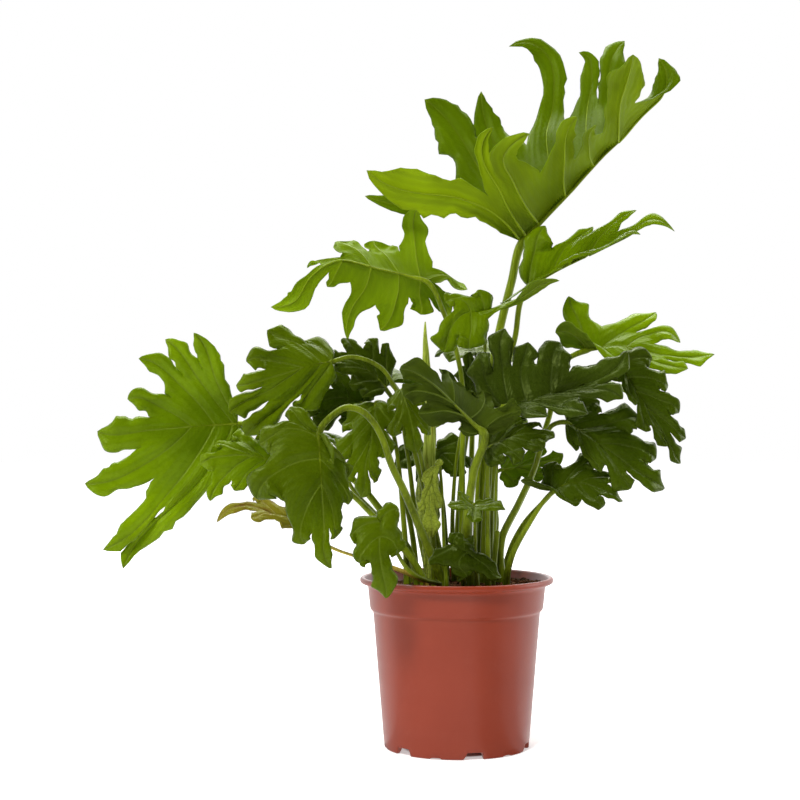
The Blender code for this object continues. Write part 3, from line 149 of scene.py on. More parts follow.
# Each frond: its petiole from the soil to the joint, the spine from the joint to the leaf's tip,
# and its lobes from the joint outwards. A lobe is its width and the points that its rib passes.
# Points are (x, y, z): x and z as seen from the front in the plane of the pot's axis, and y the
# depth behind it. "right" and "left" are as seen along the spine with the upper face up.
FRONDS = {
    "leaf_01_crown": dict(
        stalk=[(24, 18), (26, 20, 240), (33, 26, 370), (46, 30, 448), (60, 30, 505)],
        radius=(6.0, 4.6),
        spine=[(70, 30, 549), (145, 25, 626), (200, 30, 684), (221, 32, 706), (220, 36, 748)],
        share=0.72, tip_width=38, tip_face=(-0.4, -0.8, 0.45), join=0.5, point=2.4, tip=0.56,
        starts=(0, 0.04, 0.14, 0.36, 0.6, 0.8),
        right=[(56, (36, 2, 582), (2, -14, 596), (-40, -16, 606), (-98, -10, 626)),
               (22, (50, 0, 598), (35, -12, 640), (40, -12, 673)),
               (40, (62, -14, 612), (52, -32, 640), (79, -42, 666)),
               (34, (119, -10, 645), (131, -22, 685)),
               (16, (146, -8, 662), (152, -16, 676)),
               (62, (179, -6, 700), (192, -14, 752))],
        left=[(24, (32, 44, 580), (-8, 56, 588), (-60, 54, 583), (-100, 48, 598)),
              (60, (42, 64, 600), (8, 84, 650), (-35, 90, 703)),
              (36, (62, 72, 612), (44, 96, 660), (27, 104, 712)),
              (32, (98, 80, 660), (105, 104, 704), (99, 110, 742), (80, 110, 760), (57, 108, 761)),
              (24, (142, 74, 692), (151, 92, 728), (148, 98, 746), (133, 98, 754)),
              (44, (166, 62, 700), (172, 76, 736), (183, 80, 767))]),
    "leaf_02_upper_right": dict(
        stalk=[(38, 29), (40, 30, 240), (44, 26, 340), (52, 18, 400), (63, 14, 441)],
        radius=(4.4, 3.1),
        spine=[(78, 6, 499), (134, 0, 530), (189, -6, 556), (216, -8, 569), (238, -10, 560)],
        share=0.7, tip_width=25, join=0.55, point=2.0, starts=(0, 0.25, 0.6),
        right=[(16, (62, -6, 489), (47, -14, 482)),
               (11, (100, -14, 512), (117, -20, 519)),
               (18, (170, -14, 548), (200, -20, 556))],
        left=[(40, (86, 10, 540), (97, 8, 566)),
              (27, (125, 14, 549), (149, 18, 564)),
              (18, (172, 8, 568), (196, 10, 582))]),
    "leaf_03_upper_left": dict(
        stalk=[(5, 2), (6, 6, 300), (4, 6, 410), (-2, 4, 436), (-14, -6, 471)], radius=(4.0, 2.7),
        spine=[(-33, -10, 505), (-82, -4, 518), (-134, 0, 526), (-159, -4, 509), (-177, -8, 484),
               (-202, -10, 477)],
        share=0.54, tip_width=30, join=0.6, point=3.0, starts=(0, 0.06, 0.3, 0.6, 0.9),
        right=[(36, (-20, 6, 488), (-9, 8, 467)),
               (34, (-40, 0, 490), (-39, 0, 469)),
               (32, (-64, -4, 490), (-83, -8, 452)),
               (14, (-98, 0, 500), (-112, -4, 478), (-118, -6, 441)),
               (12, (-134, -2, 509), (-141, -8, 499))],
        left=[(42, (-12, 2, 511), (12, 4, 497)),
              (32, (-45, 2, 548), (-42, 6, 586)),
              (48, (-80, 14, 538), (-90, 30, 549)),
              (44, (-114, 18, 542), (-130, 30, 548)),
              (16, (-146, 8, 528), (-163, 6, 520))]),
    "leaf_04_far_left": dict(
        stalk=[(-42, -6), (-47, 0, 201), (-81, 8, 254), (-103, 12, 281), (-159, 22, 318)],
        radius=(4.4, 3.2),
        spine=[(-238, 30, 350), (-290, 24, 347), (-334, 20, 343), (-391, 12, 342)],
        share=0.55, tip_width=52, join=0.6, point=2.6, starts=(0, 0.06, 0.3, 0.6),
        right=[(32, (-262, 24, 398), (-286, 8, 449)),
               (32, (-284, 28, 402), (-317, 22, 442)),
               (30, (-306, 28, 396), (-346, 18, 421)),
               (34, (-322, 26, 368), (-358, 18, 377))],
        left=[(30, (-240, 28, 318), (-246, 26, 296)),
              (40, (-276, 24, 292), (-317, 16, 250), (-363, 8, 192)),
              (36, (-304, 22, 286), (-346, 16, 243), (-385, 10, 213)),
              (40, (-336, 18, 308), (-404, 8, 285))]),
    "leaf_05_left": dict(
        stalk=[(-13, -12), (-25, -15, 240), (-46, -17, 320), (-61, -22, 376), (-70, -30, 395),
               (-82, -36, 411), (-94, -40, 418), (-114, -44, 423)],
        radius=(3.8, 2.4),
        spine=[(-136, -47, 418), (-165, -54, 412), (-189, -58, 404), (-240, -62, 392)],
        share=0.5, tip_width=39, join=0.66, starts=(0, 0.2, 0.6),
        right=[(36, (-150, -34, 434), (-167, -26, 439)),
               (42, (-176, -44, 439), (-206, -50, 452)),
               (34, (-203, -54, 418), (-229, -60, 418))],
        left=[(51, (-152, -50, 395), (-178, -52, 368)),
              (60, (-185, -54, 374), (-230, -58, 338)),
              (45, (-205, -60, 386), (-247, -64, 362))]),
    "leaf_06_left": dict(
        stalk=[(-30, 24), (-46, 26, 262), (-53, 16, 315), (-66, -6, 372)], radius=(3.4, 2.3),
        spine=[(-77, -16, 389), (-100, -22, 412), (-118, -22, 420), (-140, -20, 421)],
        share=0.6, tip_width=27, join=0.7, starts=(0, 0.25, 0.6),
        right=[(27, (-76, -12, 415), (-74, -10, 438)),
               (33, (-92, -12, 426), (-96, -8, 443)),
               (27, (-114, -14, 434), (-122, -10, 444))],
        left=[(24, (-92, -26, 386), (-102, -30, 379)),
              (27, (-106, -28, 396), (-117, -32, 394)),
              (24, (-118, -26, 412), (-132, -28, 408))]),
    "leaf_07_mid_left": dict(
        stalk=[(-44, 12), (-60, 16, 280), (-92, 12, 350)], radius=(3.4, 2.3),
        spine=[(-103, 6, 373), (-130, 3, 378), (-167, -2, 363)],
        share=0.5, tip_width=33, join=0.71, starts=(0, 0.4),
        right=[(48, (-102, 12, 392), (-108, 14, 406)),
               (48, (-126, 10, 396), (-138, 8, 404))],
        left=[(36, (-112, 2, 358), (-122, -2, 347)),
              (39, (-140, 0, 361), (-155, -4, 348))]),
    "leaf_08_front_left": dict(
        stalk=[(-17, -36), (-31, -50, 216), (-43, -60, 244), (-58, -72, 279), (-71, -82, 306),
               (-82, -90, 337), (-90, -94, 351), (-105, -100, 365), (-119, -104, 368),
               (-134, -108, 360)],
        radius=(5.0, 3.6),
        spine=[(-150, -112, 339), (-146, -122, 270), (-143, -122, 230), (-136, -116, 193)],
        share=0.62, tip_width=27, join=0.8, point=2.0, starts=(0, 0.05, 0.3, 0.6),
        right=[(36, (-170, -106, 352), (-182, -98, 368)),
               (48, (-185, -110, 345), (-214, -102, 328)),
               (63, (-185, -118, 303), (-216, -110, 268)),
               (34, (-164, -124, 256), (-166, -120, 219))],
        left=[(27, (-142, -124, 325), (-134, -134, 306)),
              (17, (-130, -114, 322), (-119, -108, 292)),
              (16, (-130, -118, 290), (-118, -112, 262)),
              (30, (-134, -122, 252), (-133, -118, 226))]),
    "leaf_09_low_left": dict(
        stalk=[(-36, -28), (-50, -30, 205), (-84, -28, 243), (-119, -14, 277), (-159, -20, 300)],
        radius=(4.0, 2.8),
        spine=[(-197, -30, 308), (-235, -34, 316), (-279, -30, 306)],
        share=0.5, tip_width=39, join=0.8, point=2.0, starts=(0, 0.25, 0.6),
        right=[(39, (-205, -24, 328), (-214, -18, 340)),
               (42, (-232, -28, 330), (-244, -24, 338)),
               (33, (-250, -30, 325), (-265, -26, 326))],
        left=[(39, (-205, -36, 292), (-218, -40, 280)),
              (28, (-230, -38, 295), (-242, -42, 278)),
              (21, (-250, -36, 295), (-268, -38, 266))]),
    "leaf_10_old": dict(
        stalk=[(-34, -48), (-62, -60, 191), (-107, -68, 205), (-139, -66, 217)], radius=(2.8, 1.8),
        spine=[(-166, -62, 239), (-200, -64, 252), (-232, -64, 261), (-250, -62, 257),
               (-260, -60, 243)],
        share=0.6, tip_width=18, join=0.7, point=2.0, starts=(0, 0.5),
        right=[(10, (-176, -56, 252), (-186, -52, 262)),
               (24, (-211, -56, 264), (-222, -52, 268))],
        left=[(14, (-180, -70, 240), (-190, -74, 236)),
              (20, (-213, -72, 252), (-224, -76, 248))]),
    "leaf_11_front": dict(
        stalk=[(-20, -56), (-52, -88, 191), (-71, -112, 222)], radius=(3.0, 2.1),
        spine=[(-82, -125, 243), (-84, -134, 215), (-81, -133, 190), (-77, -126, 160)],
        share=0.55, tip_width=34, join=0.9, point=1.7, starts=(0, 0.35),
        right=[(36, (-99, -126, 241), (-117, -122, 229)),
               (40, (-98, -132, 216), (-105, -128, 199))],
        left=[(34, (-74, -126, 254), (-63, -122, 256)),
              (34, (-72, -132, 224), (-63, -128, 209))]),
    "leaf_12_front_centre": dict(
        stalk=[(12, -30), (11, -58, 237), (14, -72, 267), (19, -86, 299)], radius=(7.2, 4.4),
        spine=[(27, -98, 342), (-4, -122, 372), (-29, -138, 396), (-62, -150, 409)],
        share=0.6, tip_width=42, join=0.7, starts=(0, 0.3, 0.65),
        right=[(10, (12, -106, 340), (2, -110, 344)),
               (45, (-22, -130, 365), (-42, -134, 362)),
               (36, (-42, -142, 384), (-58, -146, 380))],
        left=[(54, (46, -96, 357), (71, -92, 365)),
              (54, (30, -92, 374), (28, -84, 386)),
              (51, (-6, -114, 399), (-10, -104, 408))]),
    "leaf_13_dark": dict(
        stalk=[(30, -8), (34, -10, 280), (42, -26, 345)], radius=(5.2, 3.4),
        spine=[(50, -50, 369), (112, -60, 384), (160, -64, 402), (185, -64, 430)],
        share=0.6, tip_width=48, point=1.8, starts=(0, 0.08, 0.3, 0.6),
        right=[(27, (56, -54, 358), (68, -56, 352)),
               (39, (78, -74, 367), (100, -84, 359)),
               (42, (110, -76, 370), (143, -88, 361)),
               (39, (142, -74, 387), (181, -82, 377))],
        left=[(54, (34, -44, 392), (24, -36, 426)),
              (45, (50, -42, 412), (53, -36, 454)),
              (42, (70, -42, 413), (78, -36, 439)),
              (48, (105, -46, 417), (114, -38, 438))]),
    "leaf_14_right": dict(
        stalk=[(43, -2), (49, -2, 225), (68, -2, 264), (85, 0, 302), (95, 0, 339), (103, 0, 368),
               (103, 0, 392), (109, 0, 412), (124, 0, 423)],
        radius=(4.4, 3.0),
        spine=[(142, 0, 431), (185, -2, 433), (225, 0, 425), (255, 2, 421), (281, 4, 425)],
        share=0.55, tip_width=36, join=0.52, point=2.4, starts=(0, 0.2, 0.55),
        right=[(45, (124, -8, 447), (108, -12, 449)),
               (39, (170, -14, 424), (200, -18, 410)),
               (33, (225, -12, 415), (252, -14, 410))],
        left=[(36, (134, 14, 462), (122, 22, 489)),
              (36, (184, 16, 452), (217, 26, 471)),
              (42, (205, 12, 446), (243, 18, 438))]),
    "leaf_15_right_drooping": dict(
        stalk=[(36, 10), (37, 8, 230), (46, 4, 320), (70, -6, 362), (104, -18, 386),
               (140, -28, 400)],
        radius=(3.8, 2.6),
        spine=[(176, -42, 414), (206, -50, 370), (225, -50, 340), (244, -44, 307)],
        share=0.55, tip_width=33, join=0.68, point=1.7, starts=(0, 0.25, 0.5, 0.8),
        right=[(24, (172, -48, 404), (169, -52, 397)),
               (20, (188, -54, 384), (194, -58, 370)),
               (36, (203, -56, 355), (206, -58, 341)),
               (27, (222, -54, 336), (229, -54, 325))],
        left=[(42, (196, -40, 421), (213, -36, 421)),
              (36, (213, -46, 400), (230, -42, 392)),
              (28, (224, -48, 374), (242, -44, 362)),
              (24, (234, -48, 348), (250, -44, 335))]),
    "leaf_16_right_low": dict(
        stalk=[(50, -14), (50, -18, 225), (68, -24, 264), (85, -30, 302), (95, -34, 332),
               (105, -38, 349)],
        radius=(3.8, 2.6),
        spine=[(120, -42, 352), (165, -50, 322), (195, -50, 300), (227, -42, 280)],
        share=0.6, tip_width=42, join=0.7, point=2.0, starts=(0, 0.2, 0.55),
        right=[(14, (124, -50, 336), (130, -56, 320)),
               (18, (142, -56, 318), (157, -58, 297)),
               (42, (178, -56, 298), (190, -56, 280))],
        left=[(42, (138, -34, 366), (156, -28, 374)),
              (54, (170, -38, 350), (199, -32, 356)),
              (48, (200, -44, 322), (217, -38, 312))]),
    "leaf_17_low_right": dict(
        stalk=[(52, -34), (61, -44, 208), (77, -48, 238)], radius=(3.8, 2.6),
        spine=[(105, -52, 277), (131, -58, 286), (155, -58, 280), (181, -52, 267)],
        share=0.6, tip_width=36, join=0.78, point=1.8, starts=(0, 0.25, 0.6),
        right=[(22, (86, -58, 286), (70, -62, 288)),
               (17, (118, -66, 270), (134, -70, 264)),
               (30, (146, -64, 270), (162, -66, 264))],
        left=[(39, (104, -46, 294), (110, -42, 308)),
              (48, (130, -48, 301), (148, -44, 311)),
              (36, (158, -50, 292), (173, -46, 289))]),
    "leaf_18_mid_right": dict(
        stalk=[(32, -44), (34, -54, 250), (34, -64, 300)], radius=(3.2, 2.3),
        spine=[(36, -72, 325), (65, -80, 338), (85, -80, 340), (107, -74, 335)],
        share=0.6, tip_width=36, join=0.63, point=1.8, starts=(0, 0.25, 0.6),
        right=[(33, (43, -82, 312), (51, -86, 306)),
               (39, (62, -88, 320), (72, -92, 310)),
               (30, (85, -88, 328), (95, -90, 322))],
        left=[(36, (42, -68, 342), (50, -66, 348)),
              (36, (66, -74, 351), (76, -72, 355)),
              (33, (86, -74, 349), (95, -72, 346))]),
    "leaf_19_low_centre": dict(
        stalk=[(6, -54), (4, -64, 196)], radius=(2.8, 2.0),
        spine=[(-4, -76, 218), (20, -84, 204), (48, -78, 183)],
        share=0.55, tip_width=27, join=0.95, point=1.7, starts=(0, 0.5),
        right=[(24, (-16, -82, 209), (-30, -78, 204)),
               (34, (2, -87, 197), (12, -85, 184))],
        left=[(24, (-2, -76, 226), (1, -73, 232)),
              (30, (9, -80, 221), (19, -77, 219))]),
    "leaf_20_glossy": dict(
        stalk=[(19, 6), (24, 8, 300), (30, 0, 400), (31, -8, 439)], radius=(3.0, 1.9),
        spine=[(29, -20, 469), (8, -28, 470), (-8, -30, 452), (-14, -28, 428)],
        share=0.5, tip_width=51, join=0.75, point=2.4, starts=(0, 0.4),
        right=[(33, (28, -24, 484), (22, -24, 495)),
               (38, (4, -28, 486), (-12, -26, 482))],
        left=[(26, (52, -27, 482), (84, -32, 494), (112, -36, 506)),
              (45, (16, -32, 450), (14, -34, 432))]),
    "leaf_21_pale": dict(
        stalk=[(42, 44), (44, 42, 240)], radius=(3.0, 2.0),
        spine=[(50, 38, 300), (80, 32, 306), (116, 26, 318)],
        share=0.55, tip_width=27, join=0.69, starts=(0, 0.4),
        right=[(30, (60, 42, 312), (66, 44, 319)),
               (30, (86, 36, 317), (95, 34, 325))],
        left=[(30, (60, 34, 290), (67, 32, 284)),
              (30, (87, 28, 297), (99, 24, 294))]),
    "leaf_22_star": dict(
        stalk=[(20, -54), (20, -58, 215), (20, -76, 242)], radius=(2.6, 1.9),
        spine=[(19, -112, 263), (19, -122, 256), (17, -134, 243)],
        share=0.5, tip_width=24, join=0.5, point=1.8, starts=(0, 0.4),
        right=[(22, (8, -108, 270), (4, -102, 278)),
               (22, (4, -122, 263), (-10, -124, 262))],
        left=[(20, (32, -108, 265), (42, -102, 264)),
              (22, (36, -120, 261), (54, -124, 257))]),
    "leaf_23_behind_stem": dict(
        stalk=[(-10, 26), (-14, 34, 260)], radius=(3.0, 2.0),
        spine=[(-22, 40, 322), (-10, 34, 312), (6, 30, 293)],
        share=0.5, tip_width=30, join=0.7, starts=(0, 0.35),
        right=[(40, (-42, 38, 318), (-66, 32, 302)),
               (34, (-28, 30, 300), (-44, 28, 288))],
        left=[(36, (-6, 42, 329), (6, 42, 333)),
              (30, (4, 36, 316), (15, 34, 303))]),
    "leaf_24_curly": dict(
        stalk=[(-2, 18), (-4, 15, 260), (3, 14, 330)], radius=(2.8, 1.9),
        spine=[(15, 24, 378), (14, 18, 400), (16, 16, 428)],
        share=0.5, tip_width=27, join=0.6, point=2.4, starts=(0, 0.4),
        right=[(24, (24, 20, 383), (29, 16, 377)),
               (27, (24, 16, 404), (27, 14, 412))],
        left=[(24, (6, 20, 383), (1, 16, 377)),
              (27, (6, 16, 404), (3, 14, 412))]),
    "leaf_25_hanging": dict(
        stalk=[(-54, -12), (-58, -10, 250), (-70, -6, 345), (-78, -10, 372)], radius=(3.4, 2.3),
        spine=[(-88, -20, 373), (-93, -34, 335), (-100, -38, 300), (-104, -34, 270)],
        share=0.6, tip_width=36, join=0.75, starts=(0, 0.25, 0.6),
        right=[(45, (-108, -20, 358), (-124, -16, 350)),
               (51, (-114, -32, 330), (-129, -28, 314)),
               (36, (-112, -36, 302), (-120, -32, 287))],
        left=[(42, (-78, -28, 358), (-69, -26, 346)),
              (45, (-82, -36, 328), (-74, -34, 314)),
              (30, (-92, -38, 300), (-86, -36, 288))]),
    "leaf_26_centre_left": dict(
        stalk=[(-24, -22), (-28, -31, 250), (-43, -38, 330), (-55, -34, 372)], radius=(3.4, 2.3),
        spine=[(-59, -48, 388), (-58, -60, 384), (-49, -66, 350), (-42, -62, 318)],
        share=0.55, tip_width=39, join=0.72, starts=(0, 0.4),
        right=[(36, (-67, -56, 378), (-74, -56, 364)),
               (42, (-62, -64, 352), (-67, -64, 336))],
        left=[(39, (-46, -56, 380), (-33, -56, 371)),
              (42, (-40, -64, 354), (-28, -62, 338))]),
    "leaf_33_papery": dict(
        stalk=[(-12, -46), (-13, -40, 209), (-15, -34, 256), (-17, -29, 292), (-19, -31, 306)],
        radius=(2.4, 1.6),
        spine=[(-23, -39, 304), (-28, -43, 278), (-29, -43, 250), (-27, -40, 226)],
        share=0.6, tip_width=22, join=0.8, point=2.6, starts=(0, 0.4),
        right=[(11, (-31, -41, 296), (-38, -40, 289)),
               (18, (-35, -42, 268), (-41, -41, 256))],
        left=[(12, (-20, -40, 306), (-17, -39, 311)),
              (14, (-22, -43, 270), (-18, -41, 258))]),
    "leaf_27_back": dict(
        stalk=[(14, 46), (16, 60, 300)], radius=(4.4, 3.0),
        spine=[(18, 80, 364), (20, 130, 376), (22, 180, 366), (24, 225, 338)],
        share=0.6, tip_width=45, starts=(0, 0.3, 0.65),
        right=[(45, (38, 76, 364), (58, 68, 346)),
               (51, (52, 124, 368), (76, 134, 346)),
               (45, (50, 170, 362), (70, 200, 340))],
        left=[(45, (0, 76, 364), (-24, 68, 346)),
              (51, (-12, 124, 370), (-40, 134, 350)),
              (45, (-6, 170, 364), (-28, 200, 342))]),
    "leaf_28_back_left": dict(
        stalk=[(-26, 42), (-36, 54, 300)], radius=(4.4, 3.0),
        spine=[(-70, 75, 395), (-100, 115, 412), (-130, 155, 412), (-162, 190, 400)],
        share=0.6, tip_width=42, starts=(0, 0.3, 0.65),
        right=[(45, (-50, 92, 398), (-34, 110, 386)),
               (48, (-78, 140, 410), (-62, 172, 396)),
               (42, (-112, 172, 412), (-104, 206, 396))],
        left=[(45, (-90, 62, 396), (-112, 50, 386)),
              (48, (-130, 100, 410), (-162, 92, 398)),
              (42, (-154, 146, 410), (-188, 152, 396))]),
    "leaf_29_back_right": dict(
        stalk=[(29, 47), (38, 56, 300)], radius=(4.4, 3.0),
        spine=[(85, 72, 385), (115, 112, 398), (145, 150, 396), (175, 185, 380)],
        share=0.6, tip_width=42, starts=(0, 0.3, 0.65),
        right=[(42, (108, 60, 385), (130, 50, 374)),
               (45, (145, 97, 394), (178, 92, 381)),
               (42, (170, 140, 392), (200, 150, 379))],
        left=[(39, (74, 94, 390), (68, 116, 382)),
              (45, (97, 138, 396), (84, 170, 382)),
              (42, (130, 168, 394), (120, 204, 379))]),
    "leaf_30_back_upper": dict(
        stalk=[(0, 40), (6, 50, 300)], radius=(3.6, 2.5),
        spine=[(22, 60, 425), (18, 100, 441), (14, 145, 441), (10, 185, 426)],
        share=0.6, tip_width=39, starts=(0, 0.45),
        right=[(39, (42, 54, 426), (58, 46, 416)),
               (45, (48, 104, 436), (68, 122, 424))],
        left=[(39, (4, 54, 426), (-8, 46, 417)),
              (45, (-8, 104, 436), (-18, 124, 424))]),
    "leaf_31_back_low_left": dict(
        stalk=[(-46, 30), (-52, 36, 203), (-84, 60, 247), (-116, 90, 284)], radius=(3.6, 2.5),
        spine=[(-132, 110, 330), (-160, 140, 338), (-188, 170, 326), (-204, 195, 302)],
        share=0.6, tip_width=39, starts=(0, 0.45),
        right=[(39, (-120, 128, 333), (-110, 146, 320)),
               (45, (-156, 168, 334), (-148, 196, 318))],
        left=[(39, (-148, 96, 331), (-164, 84, 320)),
              (45, (-184, 132, 334), (-208, 126, 320))]),
    "leaf_32_back_low_right": dict(
        stalk=[(54, 32), (58, 40, 211), (72, 46, 239), (101, 54, 272), (128, 60, 303)],
        radius=(3.6, 2.5),
        spine=[(158, 80, 326), (176, 112, 334), (190, 146, 322), (200, 175, 300)],
        share=0.6, tip_width=36, starts=(0, 0.45),
        right=[(33, (172, 70, 327), (188, 62, 316)),
               (39, (194, 112, 330), (214, 112, 316))],
        left=[(33, (148, 94, 330), (142, 112, 320)),
              (39, (170, 142, 330), (166, 168, 316))]),
}


def place(point):
    """Real place, in mm, of a point given as it looks from the front and its depth."""
    x, y, z = point
    spread = 1.0 + y / EYE_DISTANCE
    return np.array((EYE_X + (x - EYE_X) * spread, y, EYE_Z + (z - EYE_Z) * spread))


def unit(vectors):
    """The vectors' directions, with length one."""
    return vectors / np.maximum(np.linalg.norm(vectors, axis=-1, keepdims=True), 1e-9)


def smooth_curve(points):
    """A function from shares of the length to places, for a smooth curve through the points."""
    points = np.asarray(points, dtype=float)
    steps = np.linalg.norm(np.diff(points, axis=0), axis=1)
    knots = np.concatenate(([0.0], np.cumsum(steps))) / steps.sum()
    if len(points) > 2:
        slopes = np.gradient(points, knots, axis=0, edge_order=2)
    else:
        slopes = np.repeat(points[1:] - points[:1], 2, axis=0)

    def at(shares):
        shares = np.atleast_1d(np.asarray(shares, dtype=float))
        first = np.clip(np.searchsorted(knots, shares, side="right") - 1, 0, len(knots) - 2)
        span = (knots[first + 1] - knots[first])[:, None]
        x = ((shares - knots[first]) / span[:, 0])[:, None]
        return (
            (2 * x**3 - 3 * x**2 + 1) * points[first]
            + (x**3 - 2 * x**2 + x) * span * slopes[first]
            + (3 * x**2 - 2 * x**3) * points[first + 1]
            + (x**3 - x**2) * span * slopes[first + 1]
        )

    return at


def wander(marks, size, seed):
    """A smooth random number, about -1 to 1, for each distance."""
    return np.array([NOISE_SCALE * noise.noise(Vector((mark / size, seed, 0.5))) for mark in marks])


def hooked(rib, side, up, seed):
    """The rib with its outer part bowed, so that its tip points aside."""
    draw = random.Random(seed)
    length = np.linalg.norm(rib(1)[0] - rib(HOOK_FROM)[0])
    bow = draw.choice((-1, 1)) * draw.uniform(*HOOK_RANGE) * HOOK * length * side
    bow = bow + draw.uniform(*CURL_RANGE) * CURL * length * up

    def at(shares):
        x = np.maximum((np.atleast_1d(shares) - HOOK_FROM) / (1 - HOOK_FROM), 0)
        return rib(shares) + (x**2 * (1 - x) / BOW_PEAK)[:, None] * bow

    return at


def lobe_outline(w, phase, point, tip):
    """Half width of a lobe's free part, as a share, from the sinus (w = 0) to the tip (w = 1)."""
    wave = WAVE * np.cos(HALF_WAVES * math.pi * w + phase)
    return (1 - w**point) ** tip * (1 - WAVE_INWARD * WAVE + wave)


class Leaf:
    """The curves that a frond's blade hangs on: its midrib and one rib for each lobe.

    A rib's key is its side and its number from the joint outwards. The tip's rib is ("end", 0): it
    forks off where the last lobes' ribs do.
    """

    def __init__(self, frond):
        spine = smooth_curve([place(p) for p in frond["spine"]])
        self.count = len(frond["right"])
        self.join = frond.get("join", JOIN)
        self.point = frond.get("point", POINT)
        self.tip = frond.get("tip", TIP)
        fork = frond["share"] * frond["starts"][-1]
        starts = [start / frond["starts"][-1] for start in frond["starts"]]
        middles = [(a + b) / 2 for a, b in zip(starts, starts[1:])]
        self.stations = sorted(starts + middles)
        self.midrib = lambda t: spine(fork * np.asarray(t))
        self.ribs = {("end", 0): lambda u: spine(fork + (1 - fork) * np.asarray(u))}
        self.widths = {("end", 0): frond["tip_width"]}
        self.ups = {}
        ahead = unit(np.diff(self.midrib(np.array(starts + [starts[-1] + END_STEP])), axis=0))
        for side, turn in (("right", 1.0), ("left", -1.0)):
            for i, (width, *points) in enumerate(frond[side]):
                start = self.midrib(starts[i])[0]
                points = [place(p) for p in points]
                self.ups[side, i] = turn * np.cross(unit(points[-1] - start), ahead[i])
                self.ribs[side, i] = smooth_curve([start] + points)
                self.widths[side, i] = width
            whole = sum(self.ups[side, i] for i in range(self.count))
            for i in range(self.count):
                self.ups[side, i] *= 1.0 if self.ups[side, i] @ whole > 0 else -1.0
        self.up = unit(sum(self.ups.values()))
        self.ups["end", 0] = np.array(frond.get("tip_face", self.up))
        self.ups = {key: unit(up) for key, up in self.ups.items()}
        for key, rib in self.ribs.items():
            side = unit(np.cross(self.ups[key], rib(1)[0] - rib(HOOK_FROM)[0]))
            self.ribs[key] = hooked(rib, side, self.ups[key], f"{rib(1)[0][0]:.1f} {key}")
        self.lengths = {k: np.linalg.norm(rib(1)[0] - rib(0)[0]) for k, rib in self.ribs.items()}

    def neighbour(self, side, i):
        """The key of a side's lobe of that number, or past the last one the tip's."""
        return (side, i) if 0 <= i < self.count else ("end", 0)

    def sinus(self, key, beside):
        """How far out along a rib, as a share, its blade stays joined to the one beside it."""
        return self.join * min(self.lengths[key], self.lengths[beside]) / self.lengths[key]

    def seam(self, key, beside, shares):
        """Places on the line midway between two ribs that their blades share, from rib to sinus."""
        lines = [self.ribs[a](shares * self.sinus(a, b)) for a, b in ((key, beside), (beside, key))]
        return (lines[0] + lines[1]) / 2

    def edge(self, key, beside, u, phase, turn):
        """Places on a half lobe's free edge, from the sinus on or, without one, from the joint."""
        rib = self.ribs[key](u)
        along = self.ribs[key](u + STEP) - self.ribs[key](u - STEP)
        across = turn * unit(np.cross(self.ups[key], unit(along)))
        half = self.widths[key] / 2
        sinus = 0 if beside is None else self.sinus(key, beside)
        w = np.clip((u - sinus) / (1 - sinus), 0, 1)
        width = half * lobe_outline(w, phase, self.point, self.tip)
        if beside is None:
            width = width * (1 - (1 - w) ** OPENING_POWER)
        else:
            others = self.ribs[beside](np.linspace(0, 1, MARKS))
            room = np.linalg.norm(rib[:, None, :] - others[None, :, :], axis=2).min(axis=1)
            width = np.minimum(width, CLEAR_SHARE * room)
        seed = self.widths[key] + 10 * phase + 5 * turn
        teeth = wander(u * self.lengths[key], TOOTH_SIZE, seed)
        width = width * (1 + TEETH * teeth * np.sin(math.pi * w) ** 0.5)
        ruffle = RUFFLE * half * w * (1 - w**4) * np.cos(HALF_WAVES * math.pi * w + 2 * phase)
        return rib + across * width[:, None] + ruffle[:, None] * self.ups[key]


